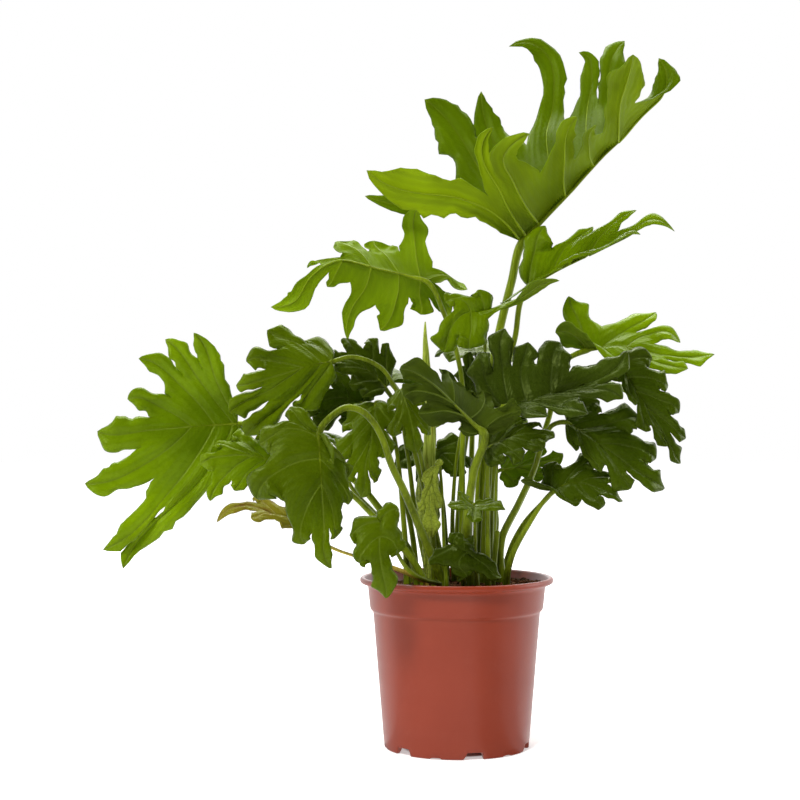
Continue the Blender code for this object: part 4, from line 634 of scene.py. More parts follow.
class Sheet:
    """A blade's open sheet, drawn half lobe by half lobe with corners shared along the seams."""

    def __init__(self, frond):
        self.leaf = Leaf(frond)
        self.points = []
        self.lifts = []
        self.index = {}
        self.faces = []
        self.veins = []
        last = self.leaf.count - 1
        for side, left in (("right", False), ("left", True)):
            for i in range(self.leaf.count):
                key = (side, i)
                phase = LOBE_PHASE * math.sin(LOBE_PHASE_STEP * i + left * LEFT_PHASE)
                above = self.leaf.neighbour(side, i + 1)
                below = (side, i - 1) if i else None
                rows = self.rows(key, above, below)
                self.half_lobe(key, above, side, i, rows[0], rows[2], left, phase)
                self.half_lobe(key, below, side, i - 1, rows[1], rows[2], not left, -phase)
        key = ("end", 0)
        rows = self.rows(key, ("right", last), ("left", last))
        for half, side in enumerate(("right", "left")):
            self.half_lobe(key, (side, last), side, last, rows[half], rows[2], not half, END_PHASE)
        self.points = np.array(self.points)
        self.lifts = np.array(self.lifts)

    def rows(self, key, first, second):
        """The shares of a rib at the rows of its two half lobes, and of the rib between them."""
        lists = []
        for beside in (first, second):
            if beside is not None:
                sinus = self.leaf.sinus(key, beside)
                free = np.linspace(0, 1, FREE_ROWS + 1)[1:]
                lists.append(np.concatenate((np.linspace(0, sinus, JOINED_ROWS + 1),
                                             sinus + (1 - sinus) * free**ROW_POWER)))
        if len(lists) < 2:
            lists.append(lists[0])
        return lists[0], lists[1], (lists[0] + lists[1]) / 2

    def point(self, key, where, lift):
        """The number of the point of that name, which is added if it is new."""
        if key not in self.index:
            self.index[key] = len(self.points)
            self.points.append(where)
            self.lifts.append(lift)
        return self.index[key]

    def half_lobe(self, key, beside, side, gap, u, rib_u, flip, phase):
        """The sheet from a rib to the seam with the rib beside it, and beyond it to the free edge.

        It has a row for each share u of its outer edge, which meets the rib at the share rib_u.
        "gap" is the number of the seam on its side of the leaf.
        """
        leaf = self.leaf
        last = leaf.count - 1
        turn = -1.0 if flip else 1.0
        number = last if key[0] == "end" else key[1]
        rib = leaf.ribs[key](rib_u)
        foot = leaf.ribs[key](0)[0]
        outer = leaf.edge(key, beside, u, phase, turn)
        station, joined, sinus = 2 * number, 0, 0.0
        if beside is not None:
            station, joined = min(2 * gap + 1, 2 * last), JOINED_ROWS
            sinus = leaf.sinus(key, beside)
            start = leaf.midrib(leaf.stations[station])[0]
            shares = u[:joined + 1] / sinus
            seam = leaf.seam(key, beside, shares)
            seam += (1 - shares)[:, None] ** 2 * (start - seam[0])
            shift = seam[-1] - leaf.edge(key, beside, np.array((sinus,)), phase, turn)[0]
            fade = np.clip((1 - u) / (1 - sinus), 0, 1) ** NECK_POWER
            outer += fade[:, None] * shift
            outer[:joined + 1] = seam
        length = leaf.lengths[key]
        half = leaf.widths[key] / 2
        columns = (np.arange(COLUMNS + 1) / COLUMNS) ** COLUMN_POWER
        frills = wander(u * length, FRILL_SIZE, 20 + half + 7 * phase)
        frills = frills * FRILL * min(1, half / FULL_FRILL_WIDTH) ** FRILL_POWER
        grid = np.zeros((len(u), COLUMNS + 1), dtype=int)
        veins = np.zeros((len(u), COLUMNS + 1, 2))
        line = leaf.midrib(leaf.stations[2 * number]
                           + (leaf.stations[station] - leaf.stations[2 * number]) * columns)
        for j, share in enumerate(u):
            reach = outer[j] - rib[j]
            gap_size = np.linalg.norm(reach)
            free = max(0.0, (share - sinus) / (1 - sinus))
            settle = math.exp(-QUILT_FADE * free) if joined else 0.0
            for k, v in enumerate(columns):
                dome = 1 - (1 - v) ** 2
                lift = 0.0
                if j == 0:
                    at, name = line[k], ("midrib", 2 * number, station, k)
                    if k == 0 or station == 2 * number:
                        name = ("midrib", 2 * number)
                    elif k == COLUMNS:
                        name = ("midrib", station)
                elif k == 0 or j == len(u) - 1:
                    at, name = rib[j], (key, "rib", j)
                else:
                    bend = (1 - share / sinus) ** 2 if j < joined else 0.0
                    chord = line[0] + (line[-1] - line[0]) * v
                    at = rib[j] + reach * v + bend * (line[k] - chord)
                    if j < joined or (j == joined and k == COLUMNS):
                        fading = (share / sinus) ** 4 * (1 - QUILT_LEFT)
                        lift = QUILT * gap_size * (1 - fading) * dome
                    else:
                        crown = LOBE_CROWN * half * math.sin(math.pi * v) * (1 - free**3)
                        lift = settle * QUILT * QUILT_LEFT * gap_size * dome + (1 - settle) * crown
                        lift += frills[j] * v**2 * math.sin(math.pi * free) ** 0.5 * (1 - free**2)
                    on_seam = k == COLUMNS and j <= joined
                    name = (side, "seam", gap, j) if on_seam else (key, side, gap, j, k)
                grid[j, k] = self.point(name, at, lift)
                veins[j, k] = ((rib_u[j] + (share - rib_u[j]) * v) * length, v * gap_size)
                if j == 0:
                    veins[j, k] = (0, np.linalg.norm(at - foot))
        for j in range(len(u) - 1):
            for k in range(COLUMNS):
                corners = [(j, k), (j + 1, k), (j + 1, k + 1), (j, k + 1)]
                loop = {}
                for corner in corners[::-1] if flip else corners:
                    loop.setdefault(grid[corner], veins[corner])
                if len(loop) > 2:
                    self.faces.append(list(loop))
                    self.veins.append(list(loop.values()))


def sheet_normals(points, faces):
    """Upward directions at a sheet's points."""
    fans = np.array([(f[0], f[n], f[n + 1]) for f in faces for n in range(1, len(f) - 1)])
    a, b, c = (points[fans[:, n]] for n in range(3))
    facing = np.cross(b - a, c - a)
    normals = np.zeros((len(points), 3))
    for n in range(3):
        np.add.at(normals, fans[:, n], facing)
    return unit(normals)


def sway(points, size, seed):
    """A smooth random number for each point, alike for points that lie close together."""
    offset = Vector([seed * c for c in SWAY_STEP])
    return np.array([noise.noise(Vector(p) / size + offset) for p in points])


def around(sides):
    """The cosines and sines of even steps round a circle."""
    turns = 2 * math.pi * np.arange(sides) / sides
    return np.stack((np.cos(turns), np.sin(turns)), 1)


def band(low, high, sides):
    """Faces between two rings of points, from the numbers of the rings' first points."""
    nexts = [(k + 1) % sides for k in range(sides)]
    return [[low + k, high + k, high + after, low + after] for k, after in enumerate(nexts)]


# How far a tube's ends stand out, as a share of its radius there, and what a tube without given
# faces is set square to at its start
START_CAP, END_CAP = 0.4, 0.6
SQUARE_TO = (0.0, 1.0, 0.3)


def tube(path, widths, heights, sides, ups=None):
    """A closed tube along the path, oval in section, with blunt ends."""
    path = np.asarray(path, dtype=float)
    along = unit(np.gradient(path, axis=0))
    across = np.cross(along[0], SQUARE_TO if ups is None else ups[0])
    circle = around(sides)
    points = []
    for n, (at, direction) in enumerate(zip(path, along)):
        if ups is not None:
            across = np.cross(direction, ups[n])
        across = unit(across - direction * (across @ direction))
        other = np.cross(across, direction)
        points += [at + widths[n] * cos * across + heights[n] * sin * other for cos, sin in circle]
    top = (len(path) - 1) * sides
    faces = [face for low in range(0, top, sides) for face in band(low, low + sides, sides)]
    first, end = len(points), len(points) + 1
    points += [path[0] - along[0] * widths[0] * START_CAP,
               path[-1] + along[-1] * widths[-1] * END_CAP]
    for k in range(sides):
        after = (k + 1) % sides
        faces.append([first, k, after])
        faces.append([end, top + after, top + k])
    return np.array(points), faces


def put(name, data):
    """A new object in the scene."""
    thing = bpy.data.objects.new(name, data)
    bpy.context.scene.collection.objects.link(thing)
    return thing


class Build:
    """Gathers points and faces for one object, in millimetres.

    A face's slot is the number of its material. Its corners' coordinates say where they lie on a
    lobe: how far along the rib, and how far from it.
    """

    def __init__(self):
        self.points = []
        self.faces = []
        self.slots = []
        self.coordinates = []
        self.count = 0

    def add(self, points, faces, slots, coordinates=None):
        """Adds faces on points of their own, in one slot or in a slot each."""
        self.points.append(np.asarray(points))
        self.faces += [[i + self.count for i in face] for face in faces]
        self.slots += slots if isinstance(slots, list) else [slots] * len(faces)
        if coordinates is None:
            coordinates = [[(0.0, 0.0)] * len(face) for face in faces]
        self.coordinates += coordinates
        self.count += len(points)

    def make(self, name, materials):
        """The object of all that was added, which rides the part's one body."""
        mesh = bpy.data.meshes.new(name)
        mesh.from_pydata([tuple(p) for p in np.concatenate(self.points) * MM], [], self.faces)
        for stuff in materials:
            mesh.materials.append(stuff)
        mesh.polygons.foreach_set("material_index", self.slots)
        mesh.polygons.foreach_set("use_smooth", [True] * len(self.faces))
        layer = mesh.uv_layers.new(name="vein")
        flat = np.array([c for face in self.coordinates for c in face], dtype=np.float32)
        flat = flat / MM_PER_CM
        layer.data.foreach_set("uv", flat.ravel())
        mesh.update()
        thing = put(name, mesh)
        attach(thing, "root")
        return thing


# A frond's materials, in order
UPPER, UNDER, RIM, STALK, RIB = range(5)


def add_blade(build, frond, seed):
    """The blade with its quilting and frill, closed at its edges, and the ribs that carry it."""
    sheet = Sheet(frond)
    leaf = sheet.leaf
    base = sheet.points
    normals = sheet_normals(base, sheet.faces)
    drift = sway(base, SWAY_SIZE, seed) * SWAY
    points = base + normals * (sheet.lifts + drift)[:, None]
    normals = sheet_normals(points, sheet.faces)
    count = len(points)
    under = [[i + count for i in face[::-1]] for face in sheet.faces]
    under_veins = [vein[::-1] for vein in sheet.veins]
    edges = {}
    for face, vein in zip(sheet.faces, sheet.veins):
        for n, a in enumerate(face):
            edges[a, face[(n + 1) % len(face)]] = (vein[n], vein[(n + 1) % len(face)])
    rim, rim_veins = [], []
    for (a, b), (vein_a, vein_b) in edges.items():
        if (b, a) not in edges:
            rim.append([b, a, a + count, b + count])
            rim_veins.append([vein_b, vein_a, vein_a, vein_b])
    build.add(np.concatenate((points + normals * BLADE / 2, points - normals * BLADE / 2)),
              sheet.faces + under + rim,
              [UPPER] * len(under) + [UNDER] * len(under) + [RIM] * len(rim),
              sheet.veins + under_veins + rim_veins)
    tip = frond["radius"][1]
    for key in leaf.ribs:
        number = leaf.count - 1 if key[0] == "end" else key[1]
        line = [sheet.index["midrib", 2 * number]]
        line += [sheet.index[key, "rib", j] for j in range(1, JOINED_ROWS + FREE_ROWS + 1)]
        share = np.linspace(0, 1, len(line))
        size = END_RIB_SIZE if key[0] == "end" else RIB_SIZE
        size = size * tip * min(1.0, leaf.lengths[key] / FULL_RIB_LENGTH)
        radii = size * (1 - share) ** RIB_POWER + RIB_END
        path = points[line] - normals[line] * (radii * SINK)[:, None]
        build.add(*tube(path, radii, radii * FLATNESS, RIB_SIDES, normals[line]), RIB)
    return leaf, points, points - base, normals


def add_stalk(build, frond, leaf, points, moves, normals):
    """The petiole, and the midrib that carries on from it under the blade."""
    foot_x, foot_y = frond["stalk"][0]
    base, tip = frond["radius"]
    up = leaf.up
    mouth = np.array((foot_x, foot_y, STALK_MOUTH))
    knee = place(frond["spine"][0]) - up * tip * SINK
    under = leaf.midrib(RUN_UNDER)[0] - up * tip * RUN_SINK
    route = [mouth] + [place(p) for p in frond["stalk"][1:]] + [knee, under]
    steps = np.linalg.norm(np.diff(route, axis=0), axis=1)
    knee_share = 1 - steps[-1] / steps.sum()
    shares = 1 - (1 - np.linspace(0, 1, STALK_ROWS)) ** STALK_ROW_POWER
    curve = smooth_curve(route)
    path = [np.array((foot_x, foot_y, STALK_FOOT)), *curve(shares * knee_share)]
    path += list(curve(knee_share + (1 - knee_share) * np.array(RUN_SHARES)))
    taper = base + (tip - base) * np.minimum(shares * TAPER_SHARE, 1)
    flare = base * FLARE * np.exp(-shares * FLARE_FADE)
    knob = tip * KNOB * np.exp(-((shares - KNOB_AT) * KNOB_SHARPNESS) ** 2)
    radii = np.array([base * BURIED_SIZE, *(taper + flare + knob),
                      *(tip * size for size in RUN_SIZES)])
    build.add(*tube(path, radii, radii * STALK_FLATNESS, STALK_SIDES), STALK)
    stations = np.linspace(0.0, 1.0, MIDRIB_ROWS)
    line = leaf.midrib(stations)
    near = np.linalg.norm(points[None, :, :] - line[:, None, :], axis=2).argmin(axis=1)
    radii = tip * (MIDRIB_SIZE - MIDRIB_TAPER * stations)
    path = line + moves[near] - normals[near] * (radii * MIDRIB_SINK)[:, None]
    build.add(*tube(path, radii, radii * FLATNESS, MIDRIB_SIDES, normals[near]), STALK)


def add_node(tree, kind, inputs=(), **settings):
    """A shader node with its settings, and its inputs as numbers or as links from other nodes."""
    node = tree.nodes.new("ShaderNode" + kind)
    for name, value in settings.items():
        setattr(node, name, value)
    for key, value in dict(inputs).items():
        if isinstance(value, bpy.types.NodeSocket):
            tree.links.new(value, node.inputs[key])
        else:
            node.inputs[key].default_value = value
    return node


def sums(tree, operation, *values):
    """The result of a calculation with the values."""
    return add_node(tree, "Math", dict(enumerate(values)), operation=operation).outputs[0]


def ramp(tree, value, low, high, to_low=0.0, to_high=1.0):
    """A number that goes smoothly from to_low to to_high, as the value goes from low to high."""
    made = add_node(tree, "MapRange", {"Value": value, "From Min": low, "From Max": high,
                                       "To Min": to_low, "To Max": to_high},
                    interpolation_type="SMOOTHSTEP")
    return made.outputs["Result"]


def blend(tree, factor, low, high):
    """A colour between two colours."""
    made = add_node(tree, "Mix", {0: factor, 6: low, 7: high}, data_type="RGBA")
    return made.outputs[2]


def cloud(tree, where, size, detail=3.0, roughness=0.5):
    """Smooth noise from 0 to 1, with patches of about the size in metres."""
    return add_node(tree, "TexNoise", {"Vector": where, "Scale": 1 / size, "Detail": detail,
                                       "Roughness": roughness}).outputs[0]


def tinted(tree, body, share, strength, colour):
    """The body's colour with some of another, as much as the share times the strength says."""
    return blend(tree, sums(tree, "MULTIPLY", share, strength), body, colour)


# What a glance straight on mirrors; a grazing one stays white
SHEEN_TINT = (0.8, 1.0, 0.25, 1.0)


def start(name, roughness, specular=0.5, tint=SHEEN_TINT):
    """A new material, its nodes, its shader, and the place on the object."""
    stuff = bpy.data.materials.new(name)
    stuff.use_nodes = True
    tree = stuff.node_tree
    shader = tree.nodes["Principled BSDF"]
    shader.inputs["Roughness"].default_value = roughness
    shader.inputs["Specular IOR Level"].default_value = specular
    shader.inputs["Specular Tint"].default_value = tint
    where = add_node(tree, "TexCoord").outputs["Object"]
    return stuff, tree, shader, where


def coat(tree, shader, body, relief, distance, strength):
    """Gives the shader its colour and its relief. Returns the direction that the relief faces."""
    tree.links.new(body, shader.inputs["Base Color"])
    bump = add_node(tree, "Bump", {"Height": relief, "Distance": distance, "Strength": strength})
    tree.links.new(bump.outputs[0], shader.inputs["Normal"])
    return bump.outputs[0]


def rgba(colour, factor=1.0):
    """A colour made lighter or darker, as the shader takes it."""
    return tuple(min(1.0, c * factor) for c in colour) + (1.0,)


def netted(tree, where):
    """Share from 0 to 1 of the fine net of fibres that a papery skin shows."""
    net = add_node(tree, "TexVoronoi", {"Vector": where, "Scale": 210.0},
                   feature="DISTANCE_TO_EDGE").outputs["Distance"]
    return ramp(tree, net, 0.09, 0.02, 0.0, 0.6)


# Pattern of a leaf, in centimetres along a rib and away from it: room between side veins and
# between pleats, how side veins lean, how far noise moves both, and where a rib's paler band ends
VEIN_GAP, PLEAT_GAP = 0.62, 0.8
VEIN_WIDTH = 0.055
VEIN_LEAN, LEAN_POWER = -1.7, 1.15
VEIN_DRIFT, PLEAT_DRIFT = 0.5, 0.6
RIB_BAND = (0.16, 0.03)

# Tones of a leaf: the darkest and the palest, and how much it lightens out from the joint and with
# patches
TONE_RANGE = (0.48, 1.5)
OUTWARD, OUTWARD_SHARE = (1.0, 11.0), 0.55
PATCHES, PATCH_SHARE = (0.32, 0.68), 0.45

# Relief of a leaf: heights of folds, pleats, grain, and of a rib from below and from above
FOLD_HEIGHT, PLEAT_HEIGHT, GRAIN_HEIGHT = 0.4, 1.6, 0.05
RIB_RISE, RIB_DIP = 1.0, -0.9

# How strongly a leaf mirrors below and above, and the ages that differ above
UNDER_GLOSS, UPPER_GLOSS = 0.2, 0.45
GLOSS = {"crown": 0.2}

# Share of the light that a blade lets through, and the share of that on the upper face at the ages
# where it is less: painted shade that darkens the crown's folded inside
THROUGH_SHARE = 0.3
UPPER_THROUGH_PAINTED_SHADE = {"crown": 0.5}


def leaf_material(name, colour, vein, through, roughness, seed, under=False, age="green"):
    """A blade's face: mottled green, pale ribs, side veins in grooves, painted shade on its pleats,
    painted light on the bulges between side veins, and light through it.
    """
    gloss = UNDER_GLOSS if under else GLOSS.get(age, UPPER_GLOSS)
    stuff, tree, shader, where = start(name, roughness, gloss)
    link = tree.links.new
    moved = add_node(tree, "VectorMath", {0: where, 1: tuple(seed * c for c in PATTERN_STEP)},
                     operation="ADD").outputs[0]
    broad = cloud(tree, moved, 0.06)
    fine = cloud(tree, moved, 0.006, 4.0)
    marks = add_node(tree, "UVMap", uv_map="vein").outputs[0]
    along, away = list(add_node(tree, "SeparateXYZ", {0: marks}).outputs)[:2]
    leaning = sums(tree, "MULTIPLY_ADD", sums(tree, "POWER", away, LEAN_POWER), VEIN_LEAN, along)
    drifting = sums(tree, "MULTIPLY_ADD", broad, VEIN_DRIFT, leaning)
    turn = sums(tree, "PINGPONG", drifting, VEIN_GAP / 2)
    side = ramp(tree, turn, VEIN_WIDTH, 0.0)
    fold = ramp(tree, turn, 0.0, VEIN_GAP / 2)
    rib = ramp(tree, away, *RIB_BAND)
    drifting = sums(tree, "MULTIPLY_ADD", broad, PLEAT_DRIFT, away)
    pleat = ramp(tree, sums(tree, "PINGPONG", drifting, PLEAT_GAP / 2), 0.0, PLEAT_GAP / 2)
    tone = sums(tree, "ADD", ramp(tree, along, *OUTWARD, 0.0, OUTWARD_SHARE),
                ramp(tree, broad, *PATCHES, 0.0, PATCH_SHARE))
    body = blend(tree, tone, *(rgba(colour, factor) for factor in TONE_RANGE))
    # Painted shade on the pleats' raised bands, and painted light on the bulges between side veins
    body = tinted(tree, body, pleat, 0.22, rgba(colour, 0.55))
    body = tinted(tree, body, fold, 0.12, rgba(colour, 1.3))
    body = tinted(tree, body, side, 0.12, rgba(vein))
    body = tinted(tree, body, rib, 0.6, rgba(vein))
    if age == "old":
        brown = ramp(tree, cloud(tree, moved, 0.02, 5.0, 0.65), 0.5, 0.66, 0.0, 0.9)
        body = blend(tree, brown, body, (0.13, 0.05, 0.012, 1))
    if age == "pale":
        body = blend(tree, netted(tree, where), body, (0.06, 0.085, 0.006, 1))
    link(ramp(tree, fine, 0.2, 0.8, roughness - 0.06, roughness + 0.08), shader.inputs["Roughness"])
    grain = sums(tree, "MULTIPLY", fine, GRAIN_HEIGHT)
    relief = sums(tree, "MULTIPLY_ADD", fold, FOLD_HEIGHT, grain)
    relief = sums(tree, "MULTIPLY_ADD", pleat, PLEAT_HEIGHT, relief)
    relief = sums(tree, "MULTIPLY_ADD", rib, RIB_RISE if under else RIB_DIP, relief)
    facing = coat(tree, shader, body, relief, 0.0005, 0.4)
    glow = blend(tree, rib, rgba(through), rgba(through, 0.6))
    light = add_node(tree, "BsdfTranslucent", {"Color": glow, "Normal": facing})
    mixed = add_node(tree, "MixShader",
                     {0: THROUGH_SHARE, 1: shader.outputs[0], 2: light.outputs[0]})
    link(mixed.outputs[0], tree.nodes["Material Output"].inputs["Surface"])
    return stuff


def stalk_material(name, colour, dark, roughness=0.34, streak=0.5):
    """A petiole or rib: green with long streaks, flecks and a soft gloss."""
    stuff, tree, shader, where = start(name, roughness)
    long = add_node(tree, "Mapping", {0: where, "Scale": (1.0, 1.0, 0.09)}).outputs[0]
    lines = cloud(tree, long, 0.0016, 3.0, 0.6)
    broad = cloud(tree, where, 0.04)
    flecks = ramp(tree, cloud(tree, where, 0.0012, 1.0), 0.68, 0.74)
    body = blend(tree, ramp(tree, broad, *PATCHES), rgba(dark), rgba(colour))
    body = blend(tree, ramp(tree, lines, 0.4, 0.7, 0.0, streak), body, rgba(colour, 1.5))
    body = tinted(tree, body, flecks, 0.25, rgba(colour, 2.0))
    coat(tree, shader, body, lines, 0.0003, 0.5)
    return stuff


# Colours of leaves of each age: upper face, under face, veins, and light through the blade
TONES = {
    # The pale colours are partly painted light: lighter than the papery leaf's own, where leaves
    # shade it
    "pale": ((0.4, 0.47, 0.05), (0.37, 0.43, 0.05), (0.3, 0.36, 0.05), (0.42, 0.6, 0.01)),
    "crown": ((0.07, 0.11, 0.001), (0.185, 0.26, 0.003), (0.16, 0.235, 0.008),
              (0.46, 0.68, 0.002)),
    "bright": ((0.18, 0.265, 0.001), (0.16, 0.235, 0.003), (0.2, 0.29, 0.012),
               (0.42, 0.62, 0.002)),
    "fresh": ((0.12, 0.185, 0.001), (0.125, 0.18, 0.008), (0.16, 0.235, 0.015),
              (0.32, 0.5, 0.003)),
    "green": ((0.088, 0.132, 0.001), (0.1, 0.14, 0.008), (0.125, 0.18, 0.012),
              (0.25, 0.4, 0.003)),
    "deep": ((0.048, 0.076, 0.002), (0.063, 0.093, 0.006), (0.07, 0.105, 0.01),
             (0.14, 0.24, 0.003)),
    "dark": ((0.032, 0.051, 0.003), (0.042, 0.062, 0.008), (0.04, 0.061, 0.008),
             (0.06, 0.1, 0.004)),
    "old": ((0.28, 0.26, 0.02), (0.3, 0.26, 0.05), (0.34, 0.28, 0.06), (0.45, 0.4, 0.03)),
}

# The fronds of each age; all others are green. Leaves 09 and 14 are fresh partly as painted sheen.
AGES = {
    "pale": ("leaf_33_papery",),
    "crown": ("leaf_01_crown",),
    "bright": ("leaf_03_upper_left",),
    "fresh": ("leaf_02_upper_right", "leaf_04_far_left", "leaf_09_low_left", "leaf_14_right",
              "leaf_20_glossy", "leaf_21_pale"),
    "deep": ("leaf_06_left", "leaf_07_mid_left", "leaf_12_front_centre",
             "leaf_15_right_drooping", "leaf_16_right_low", "leaf_17_low_right",
             "leaf_18_mid_right", "leaf_19_low_centre", "leaf_23_behind_stem", "leaf_24_curly"),
    "dark": ("leaf_13_dark",),
    "old": ("leaf_10_old",),
}

# How much lighter a frond's upper face is than its age's, for leaves 09 and 14 partly as painted
# sheen; the others differ a little at random
LIGHTER_TONE_AND_SHEEN = {"leaf_02_upper_right": 1.2, "leaf_03_upper_left": 1.3, "leaf_04_far_left": 1.1,
           "leaf_05_left": 1.1, "leaf_08_front_left": 0.85, "leaf_09_low_left": 1.25,
           "leaf_12_front_centre": 1.2, "leaf_13_dark": 1.3, "leaf_14_right": 1.45}
SHADE_SPREAD = 0.1

# The material slot and the petiole of each age, where they aren't the green ones
PETIOLES = {"crown": "bright", "bright": "bright", "fresh": "bright", "old": "old"}

UPPER_ROUGHNESS, UNDER_ROUGHNESS, RIB_ROUGHNESS = 0.27, 0.5, 0.45
RIM_FACTOR, RIB_FACTOR, RIB_STREAK = 1.1, 0.85, 0.2


def scaled(colour, factor):
    """A colour made lighter or darker."""
    return tuple(c * factor for c in colour)


def make_frond(name, frond, number, stalks):
    """A frond with materials of its own, in the colours of its age."""
    age = next((age for age, names in AGES.items() if name in names), "green")
    upper, under, vein, through = TONES[age]
    draw = random.Random(number)
    # Part of the lightening of leaves 09 and 14 is painted sheen
    shade = LIGHTER_TONE_AND_SHEEN.get(name, 1 + draw.uniform(-SHADE_SPREAD, SHADE_SPREAD))
    # The crown's upper face lets through less light, as painted shade on its folded inside
    upper_through_shaded = scaled(through, UPPER_THROUGH_PAINTED_SHADE.get(age, 1.0))
    materials = [
        leaf_material(name + "_upper", scaled(upper, shade), vein, upper_through_shaded, UPPER_ROUGHNESS,
                      number, age=age),
        leaf_material(name + "_under", under, vein, through, UNDER_ROUGHNESS, number, True, age),
        leaf_material(name + "_rim", scaled(vein, RIM_FACTOR), vein, through, UNDER_ROUGHNESS,
                      number, True),
        stalks[PETIOLES.get(age, "green")],
        stalk_material(name + "_rib", scaled(under, RIB_FACTOR), under, RIB_ROUGHNESS, RIB_STREAK),
    ]
    build = Build()
    add_stalk(build, frond, *add_blade(build, frond, number))
    thing = build.make(name + "_fine", materials)
    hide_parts(name)


def turned(profile, sides):
    """Points and faces of a surface turned about the z axis, closed on itself."""
    circle = around(sides)
    points = np.concatenate([np.column_stack((r * circle, np.full(sides, z))) for r, z in profile])
    rings = [j * sides for j in range(len(profile))]
    return points, [[a, d, c, b] for low, high in zip(rings, rings[1:] + [0])
                    for a, b, c, d in band(low, high, sides)]


# Most of an edge that the rounding of a corner takes
ROUNDED_SHARE = 0.45


def rounded(corners, radius, steps=4):
    """An outline with its corners rounded off."""
    corners = np.array(corners, dtype=float)
    made = []
    for n, at in enumerate(corners):
        back, on = corners[n - 1] - at, corners[(n + 1) % len(corners)] - at
        cut = min(radius, *(np.linalg.norm(edge) * ROUNDED_SHARE for edge in (back, on)))
        first, last = at + unit(back) * cut, at + unit(on) * cut
        for t in np.linspace(0, 1, steps):
            made.append((1 - t) ** 2 * first + 2 * t * (1 - t) * at + t**2 * last)
    return made


# The pot's outline as (radius, height): boss, foot ring, outer wall, collar, lip, inner wall, floor
POT_SIDES = 216
POT_OUTLINE = [
    (44, 0), (45.5, 8), (73, 8), (73.5, 0), (78.5, 0), (79.3, 9.4), (90.2, 140.5), (90.8, 146.8),
    (93.5, 149.2), (94.2, 151.8), (96.4, 173.6), (98.7, 176.8), (103.4, 177.6),
    (LIP_RADIUS, 179.2), (LIP_RADIUS, 182.4), (102.6, POT_HEIGHT), (99.6, POT_HEIGHT - 1.2),
    (94.4, 173), (91.8, 152.5), (88.3, 142), (76.3, 11), (1.5, 11), (1.5, 0.4),
]
POT_ROUNDING = 1.6

# The foot ring's notches, tall ones and low ones by turns: (degrees, width, height)
NOTCHES = ((0, 18.0, 7.4), (30, 10.0, 1.5))
NOTCH_TURN = 12.0
NOTCH_STEP = 60
NOTCH_SIDE = 1.2
NOTCH_SLOPE = 1.6
NOTCH_LIMIT = 7.6
RING_INSIDE, RING_MIDDLE, RING_HEIGHT = 73, 78, 7.5


def pot_material():
    """Moulded plastic: brick red, a little uneven round the wall, with faint dust."""
    stuff, tree, shader, where = start("pot_plastic_moulded", 0.3, 0.5, (1, 0.95, 0.95, 1))
    broad = cloud(tree, where, 0.05)
    fine = cloud(tree, where, 0.0011, 3.0)
    banded = add_node(tree, "Mapping", {0: where, "Scale": (0.3, 0.3, 1.5)}).outputs[0]
    drawn = cloud(tree, banded, 0.02, 4.0, 0.5)
    body = blend(tree, ramp(tree, broad, 0.3, 0.7), (0.23, 0.0305, 0.0105, 1),
                 (0.245, 0.0335, 0.012, 1))
    body = blend(tree, ramp(tree, drawn, 0.52, 0.75, 0.0, 0.12), body, (0.26, 0.04, 0.016, 1))
    dust = ramp(tree, cloud(tree, where, 0.018, 5.0, 0.7), 0.56, 0.75, 0.0, 0.08)
    body = blend(tree, dust, body, (0.34, 0.1, 0.06, 1))
    tree.links.new(ramp(tree, drawn, 0.3, 0.75, 0.3, 0.34), shader.inputs["Roughness"])
    coat(tree, shader, body, fine, 0.00025, 0.35)
    return stuff


def make_pot():
    """The nursery pot, with a rolled lip, a collar step and a notched foot ring."""
    points, faces = turned(rounded(POT_OUTLINE, POT_ROUNDING), POT_SIDES)
    turns = np.degrees(np.arctan2(points[:, 1], points[:, 0])) + 90 - NOTCH_TURN
    foot = (np.hypot(points[:, 0], points[:, 1]) > RING_INSIDE) & (points[:, 2] < RING_HEIGHT)
    for step, width, height in NOTCHES:
        off = (turns - step + NOTCH_STEP / 2) % NOTCH_STEP - NOTCH_STEP / 2
        across = np.abs(np.radians(off) * RING_MIDDLE)
        raised = height * np.clip((width / 2 + NOTCH_SIDE - across) / NOTCH_SLOPE, 0, 1)
        raised = np.maximum(points[:, 2], np.minimum(raised, NOTCH_LIMIT))
        points[:, 2] = np.where(foot, raised, points[:, 2])
    build = Build()
    build.add(points, faces, 0)
    pot = build.make("pot_fine", [pot_material()])
    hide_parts("pot")


def soil_material():
    """Peat mix: dark brown crumbs with lighter, fibrous ones among them."""
    stuff, tree, shader, where = start("peat_mix", 0.95, 0.2)
    crumb = cloud(tree, where, 0.0035, 6.0, 0.7)
    broad = cloud(tree, where, 0.02)
    fibre = add_node(tree, "TexVoronoi", {"Vector": where, "Scale": 420.0}).outputs["Distance"]
    body = blend(tree, ramp(tree, crumb, 0.4, 0.72), (0.022, 0.0085, 0.004, 1),
                 (0.2, 0.075, 0.032, 1))
    body = blend(tree, ramp(tree, broad, 0.5, 0.7, 0.0, 0.4), body, (0.26, 0.1, 0.045, 1))
    coat(tree, shader, body, sums(tree, "MULTIPLY_ADD", fibre, 0.6, crumb), 0.0022, 0.9)
    return stuff


SOIL_RADIUS = 93.6
SOIL_FOOT = (75.5, 11.6)
SOIL_RINGS, SOIL_SIDES = 64, 200
SOIL_HEAP = 3.5

# Roughness of the soil, as (height, size) of each noise, and its clods
SOIL_SEED = 7
SOIL_ROUGHNESS = ((2.2, 16), (1.3, 6), (0.8, 2.4))
CLODS, CLOD_REACH = 420, 90
CLOD_SIZES = (1.2, 1.6, 2.2, 3.2)
CLOD_STRETCH = ((0.6, 1.5), (0.6, 1.2), (0.4, 0.8))
CLOD_BUMPS, CLOD_BUMP_SCALE = 0.5, 1.7
CLOD_RISE = 0.25


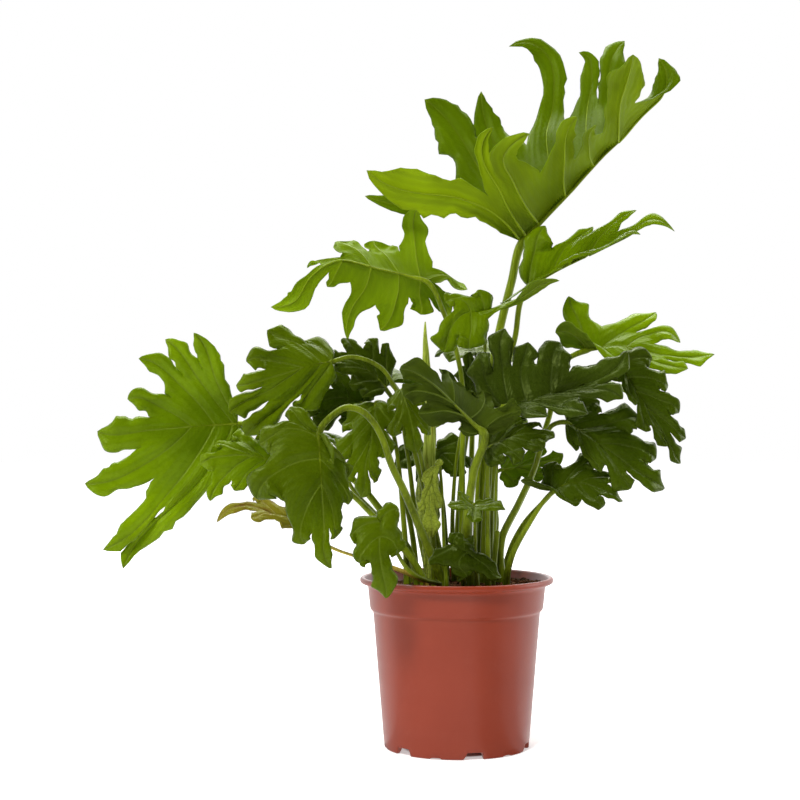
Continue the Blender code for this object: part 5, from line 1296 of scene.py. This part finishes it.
def mound(x, y):
    """Height of the soil, which is heaped up towards the right."""
    share = math.hypot(x, y) / SOIL_RADIUS
    heap = SOIL_HEAP * max(0.0, x / SOIL_RADIUS)
    return SOIL_CROWN - (SOIL_CROWN - SOIL_EDGE) * share**2 + heap


def ball():
    """Corners and faces of a ball of radius one."""
    made = bmesh.new()
    bmesh.ops.create_icosphere(made, subdivisions=2, radius=1.0)
    corners = [v.co.copy() for v in made.verts]
    faces = [[v.index for v in f.verts] for f in made.faces]
    made.free()
    return corners, faces


def make_soil():
    """The potting mix: a crumbly mound with peat clods and bark chips sunk into it."""
    draw = random.Random(SOIL_SEED)
    circle = around(SOIL_SIDES)
    points = []
    for share in np.arange(SOIL_RINGS + 1) / SOIL_RINGS:
        for x, y in SOIL_RADIUS * share * circle:
            at = Vector((x, y, 0))
            rough = sum(height * noise.noise(at / size) for height, size in SOIL_ROUGHNESS)
            points.append((x, y, mound(x, y) + rough * (1 - share**8)))
    floor = len(points)
    foot_radius, foot_height = SOIL_FOOT
    points += [(*(foot_radius * at), foot_height) for at in circle]
    faces = [face for low in range(0, floor, SOIL_SIDES)
             for face in band(low, low + SOIL_SIDES, SOIL_SIDES)]
    faces.append([floor + k for k in range(SOIL_SIDES)][::-1])
    build = Build()
    build.add(points, faces, 0)
    corners, faces = ball()
    for n in range(CLODS):
        radius, turn = CLOD_REACH * math.sqrt(draw.random()), draw.uniform(0, 2 * math.pi)
        x, y = radius * math.cos(turn), radius * math.sin(turn)
        size = draw.choice(CLOD_SIZES)
        stretch = np.array([draw.uniform(*span) for span in CLOD_STRETCH])
        bumps = [noise.noise(at * CLOD_BUMP_SCALE + Vector((n, 0, 0))) for at in corners]
        shape = np.array([tuple(at * (1 + CLOD_BUMPS * bump)) for at, bump in zip(corners, bumps)])
        shape = shape * stretch * size
        spin = draw.uniform(0, math.pi)
        cos, sin = math.cos(spin), math.sin(spin)
        shape = shape @ np.array(((cos, -sin, 0), (sin, cos, 0), (0, 0, 1)))
        build.add(shape + (x, y, mound(x, y) + size * CLOD_RISE), faces, 0)
    soil = build.make("soil_fine", [soil_material()])
    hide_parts("soil")


# The crown stem: its route from inside the soil up to the rolled leaf's tip, with radii
STEM_ROUTE = [(-28, 5, 148), (-28, 5, 183), (-30, 5, 228), (-31, 5, 252), (-31, 5, 286),
              (-30, 5, 312), (-29, 5, 345), (-31, 4, 385), (-33, 2, 415), (-34, 0, 440),
              (-34, 0, 461)]
STEM_RADII = [7.5, 7.5, 9.0, 12.6, 12.0, 7.0, 6.4, 6.2, 4.6, 2.6, 0.7]
STEM_ROWS, STEM_SIDES = 90, 32

# Its sheath, as heights where it starts and ends and the room over which it does so
SHEATH_START, SHEATH_START_ROOM = 190, 25
SHEATH_END, SHEATH_END_ROOM = 312, 20
FOLD_DEPTH, FOLD_SIZE = 0.8, (3, 3, 26)
RIDGE_DEPTH, RIDGE_SIZE, RIDGE_SHIFT = 2.2, (5, 5, 7), 9

# Heights in metres where the rust starts and ends and where the sheath's cracks end
RUST_START, RUST_END, CRACKS_END = (0.295, 0.31), (0.37, 0.355), (0.3, 0.28)


def stem_material():
    """Streaky green, paler than its own colour as painted light where leaves shade it, with a
    cracked papery sheath below and rust above it.
    """
    stuff, tree, shader, where = start("stem_streaky", 0.5)
    long = add_node(tree, "Mapping", {0: where, "Scale": (1.0, 1.0, 0.05)}).outputs[0]
    lines = cloud(tree, long, 0.0022, 5.0, 0.65)
    height = add_node(tree, "SeparateXYZ", {0: where}).outputs[2]
    # The pale streaks are partly painted light: lighter than the stem's own green, where leaves
    # shade it
    body = blend(tree, ramp(tree, lines, 0.38, 0.62), (0.15, 0.2, 0.012, 1), (0.36, 0.43, 0.06, 1))
    rust = ramp(tree, cloud(tree, long, 0.005, 4.0, 0.6), 0.5, 0.64, 0.0, 0.75)
    bare = sums(tree, "MULTIPLY", ramp(tree, height, *RUST_START), ramp(tree, height, *RUST_END))
    body = tinted(tree, body, rust, bare, (0.2, 0.075, 0.012, 1))
    cracks = sums(tree, "MULTIPLY", netted(tree, where), ramp(tree, height, *CRACKS_END))
    body = blend(tree, cracks, body, (0.07, 0.1, 0.008, 1))
    coat(tree, shader, body, sums(tree, "MULTIPLY_ADD", cracks, -1.3, lines), 0.001, 0.7)
    return stuff


def creases(points, size, shift=0.0):
    """Smooth noise for each point, with creases of about the size along x, y and z."""
    return np.array([noise.noise(Vector((x, y, z + shift))) for x, y, z in points / size])


def make_stem():
    """The crown stem in its papery sheath, with the rolled young leaf on top."""
    route = np.array([place(p) for p in STEM_ROUTE])
    shares = np.linspace(0, 1, STEM_ROWS)
    path = smooth_curve(route)(shares)
    steps = np.concatenate(([0], np.cumsum(np.linalg.norm(np.diff(route, axis=0), axis=1))))
    radii = np.interp(shares, steps / steps[-1], STEM_RADII)
    points, faces = tube(path, radii, radii, STEM_SIDES)
    out = unit(points - np.concatenate((np.repeat(path, STEM_SIDES, axis=0), path[[0, -1]])))
    folds, ridges = creases(points, FOLD_SIZE), creases(points, RIDGE_SIZE, RIDGE_SHIFT)
    sheath = np.clip((SHEATH_END - points[:, 2]) / SHEATH_END_ROOM, 0, 1)
    sheath = sheath * np.clip((points[:, 2] - SHEATH_START) / SHEATH_START_ROOM, 0, 1)
    points = points + out * (folds * FOLD_DEPTH + ridges * RIDGE_DEPTH * sheath)[:, None]
    build = Build()
    build.add(points, faces, 0)
    stem = build.make("crown_stem_fine", [stem_material()])
    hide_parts("crown_stem")


STUB_ROUTE = [(38, -26, 148), (38, -26, 183), (40, -26, 207), (43, -26, 235)]
STUB_RADII = (3.5, 3.0, 2.7)
STUB_ROWS, STUB_SIDES, STUB_FLATNESS = 24, 16, 0.92


def make_stub(stuff):
    """What is left of a petiole that was cut off."""
    path = smooth_curve(STUB_ROUTE)(np.linspace(0, 1, STUB_ROWS))
    radii = np.linspace(*STUB_RADII[:2], STUB_ROWS)
    radii[-1] = STUB_RADII[2]
    build = Build()
    build.add(*tube(path, radii, radii * STUB_FLATNESS, STUB_SIDES), 0)
    stub = build.make("cut_stub_fine", [stuff])
    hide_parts("cut_stub")


WHITE = (1, 1, 1, 1)

# The table starts to glow inside the pot's foot ring, and does so in full from FOOT_OUTSIDE
FOOT_INSIDE = 55.0
FOOT_OUTSIDE = 62.0
FLOOR_GLOW = 0.45


def floor_material():
    """A white studio table, lit a little from below, but not under the pot."""
    stuff, tree, shader, where = start("floor_pale", 0.9, 0.1)
    grain = ramp(tree, cloud(tree, where, 0.02, 4.0), 0.3, 0.7, 0.915, 0.93)
    tree.links.new(grain, shader.inputs["Base Color"])
    shader.inputs["Emission Color"].default_value = WHITE
    reach = add_node(tree, "VectorMath", {0: where}, operation="LENGTH").outputs["Value"]
    glow = ramp(tree, reach, FOOT_INSIDE * MM, FOOT_OUTSIDE * MM, 0.0, FLOOR_GLOW)
    tree.links.new(glow, shader.inputs["Emission Strength"])
    return stuff


def glowing(name, strength):
    """A material that only glows, in white."""
    stuff = bpy.data.materials.new(name)
    stuff.use_nodes = True
    glow = add_node(stuff.node_tree, "Emission", {"Color": WHITE, "Strength": strength})
    stuff.node_tree.links.new(glow.outputs[0], stuff.node_tree.nodes["Material Output"].inputs[0])
    return stuff


RAYS = ("camera", "diffuse", "glossy", "transmission", "volume_scatter", "shadow")


def show_only_to(thing, ray):
    """Hides a thing from every kind of ray but one."""
    for other in RAYS:
        if other != ray:
            setattr(thing, "visible_" + other, False)


# What reflections show round the plant, in metres, and how strongly its three parts glow
SCREEN_RADIUS = 2.4
SCREEN_HEIGHT = 2.2
SCREEN_STEPS = 82
SCREEN_DROP = 0.0002
TABLE_SECTOR = (-24, 300)
WALL_SECTOR = (75, 285)
SOFTBOX = ((-1.5, -0.2), (1.5, -0.2), (1.5, 2.0), (-1.5, 2.0))
SCREEN, TABLE, SOFTBOX_PART = range(3)
GLOWS = (("screen_white", 1.2), ("table_white", 0.5), ("softbox_white", 4.5))


def make_screen():
    """A white cloth on the table and up behind the plant, that only reflections show.

    Its sectors are in degrees, clockwise from above and from the camera's side.
    """
    turns = np.linspace(*TABLE_SECTOR, SCREEN_STEPS)
    points, faces, parts = [(0.0, 0.0, -SCREEN_DROP)], [], []
    for turn in np.radians(turns):
        x, y = -SCREEN_RADIUS * math.sin(turn), -SCREEN_RADIUS * math.cos(turn)
        points += [(x, y, -SCREEN_DROP), (x, y, SCREEN_HEIGHT)]
    for n, turn in enumerate(turns[:-1]):
        low = 2 * n + 1
        faces.append((0, low, low + 2))
        parts.append(TABLE if abs(turn - 180) > 90 else SCREEN)
        if WALL_SECTOR[0] < turn < WALL_SECTOR[1]:
            faces.append((low, low + 2, low + 3, low + 1))
            parts.append(SCREEN)
    faces.append(tuple(range(len(points), len(points) + 4)))
    points += [(x, y, SCREEN_HEIGHT) for x, y in SOFTBOX]
    parts.append(SOFTBOX_PART)
    mesh = bpy.data.meshes.new("screen")
    mesh.from_pydata(points, [], faces)
    for name, strength in GLOWS:
        mesh.materials.append(glowing(name, strength))
    mesh.polygons.foreach_set("material_index", parts)
    screen = put("screen", mesh)
    show_only_to(screen, "glossy")
    return screen


# The studio, in metres and watts: the lamps as (name, place, size, power)
FLOOR_REACH = 9
FLOOR_DROP = 0.0004
BACKDROP_RADIUS = 8.9
WORLD_GLOW = 0.16
SUN_POWER, SUN_SPREAD, SUN_AIM = 2.7, 14, (0.3, 0.75, -1.0)
LAMPS = [("key", (-2.0, -1.4, 1.3), 0.8, 12), ("side", (2.2, 0.5, 0.9), 1.2, 12),
         ("top", (-0.2, 0.7, 2.3), 1.2, 36), ("back", (-0.1, 2.3, 0.9), 3.2, 46)]
LAMP_TARGET = (-0.05, 0, 0.35)


def aimed(direction):
    """How a lamp is turned that shines in the direction."""
    return Vector(direction).to_track_quat("-Z", "Y").to_euler()


def make_stage():
    """A pale floor, soft lamps and the camera of the photograph."""
    mesh = bpy.data.meshes.new("floor")
    low, high = -FLOOR_REACH, FLOOR_REACH
    mesh.from_pydata([(low, low, 0), (high, low, 0), (high, high, 0), (low, high, 0)], [],
                     [(0, 1, 2, 3)])
    mesh.materials.append(floor_material())
    floor = put("floor", mesh)
    floor.location = (0, 0, -FLOOR_DROP)
    floor.visible_glossy = False

    made = bmesh.new()
    bmesh.ops.create_uvsphere(made, u_segments=48, v_segments=24, radius=BACKDROP_RADIUS)
    mesh = bpy.data.meshes.new("backdrop")
    made.to_mesh(mesh)
    made.free()
    mesh.materials.append(glowing("backdrop_white", 1.0))
    backdrop = put("backdrop", mesh)
    show_only_to(backdrop, "camera")
    screen = make_screen()

    world = bpy.data.worlds.new("studio")
    world.use_nodes = True
    background = world.node_tree.nodes["Background"]
    background.inputs["Color"].default_value = WHITE
    background.inputs["Strength"].default_value = WORLD_GLOW
    world.cycles_visibility.glossy = False
    bpy.context.scene.world = world
    bpy.context.scene.view_settings.view_transform = "Standard"

    sun = bpy.data.lights.new("sun", "SUN")
    sun.energy = SUN_POWER
    sun.angle = math.radians(SUN_SPREAD)
    thing = put("sun", sun)
    thing.visible_glossy = False
    thing.rotation_euler = aimed(SUN_AIM)
    for name, where, size, power in LAMPS:
        lamp = bpy.data.lights.new(name, "AREA")
        lamp.size = size
        lamp.energy = power
        thing = put(name, lamp)
        thing.location = where
        thing.visible_camera = False
        thing.rotation_euler = aimed(Vector(LAMP_TARGET) - Vector(where))

    camera = put("camera", bpy.data.cameras.new("camera"))
    camera.data.lens = LENS
    camera.location = (EYE_X * MM, -EYE_DISTANCE * MM, EYE_Z * MM)
    camera.rotation_euler = (math.pi / 2, 0, 0)
    bpy.context.scene.camera = camera


stalks = {
    "bright": stalk_material("petiole_bright", (0.15, 0.2, 0.006), (0.085, 0.12, 0.003)),
    "green": stalk_material("petiole_green", (0.125, 0.165, 0.005), (0.045, 0.063, 0.002)),
    "old": stalk_material("petiole_old", (0.38, 0.3, 0.05), (0.3, 0.2, 0.03)),
}
for number, (name, frond) in enumerate(FRONDS.items()):
    make_frond(name, frond, number, stalks)
make_pot()
make_soil()
make_stem()
make_stub(stalks["green"])
make_stage()
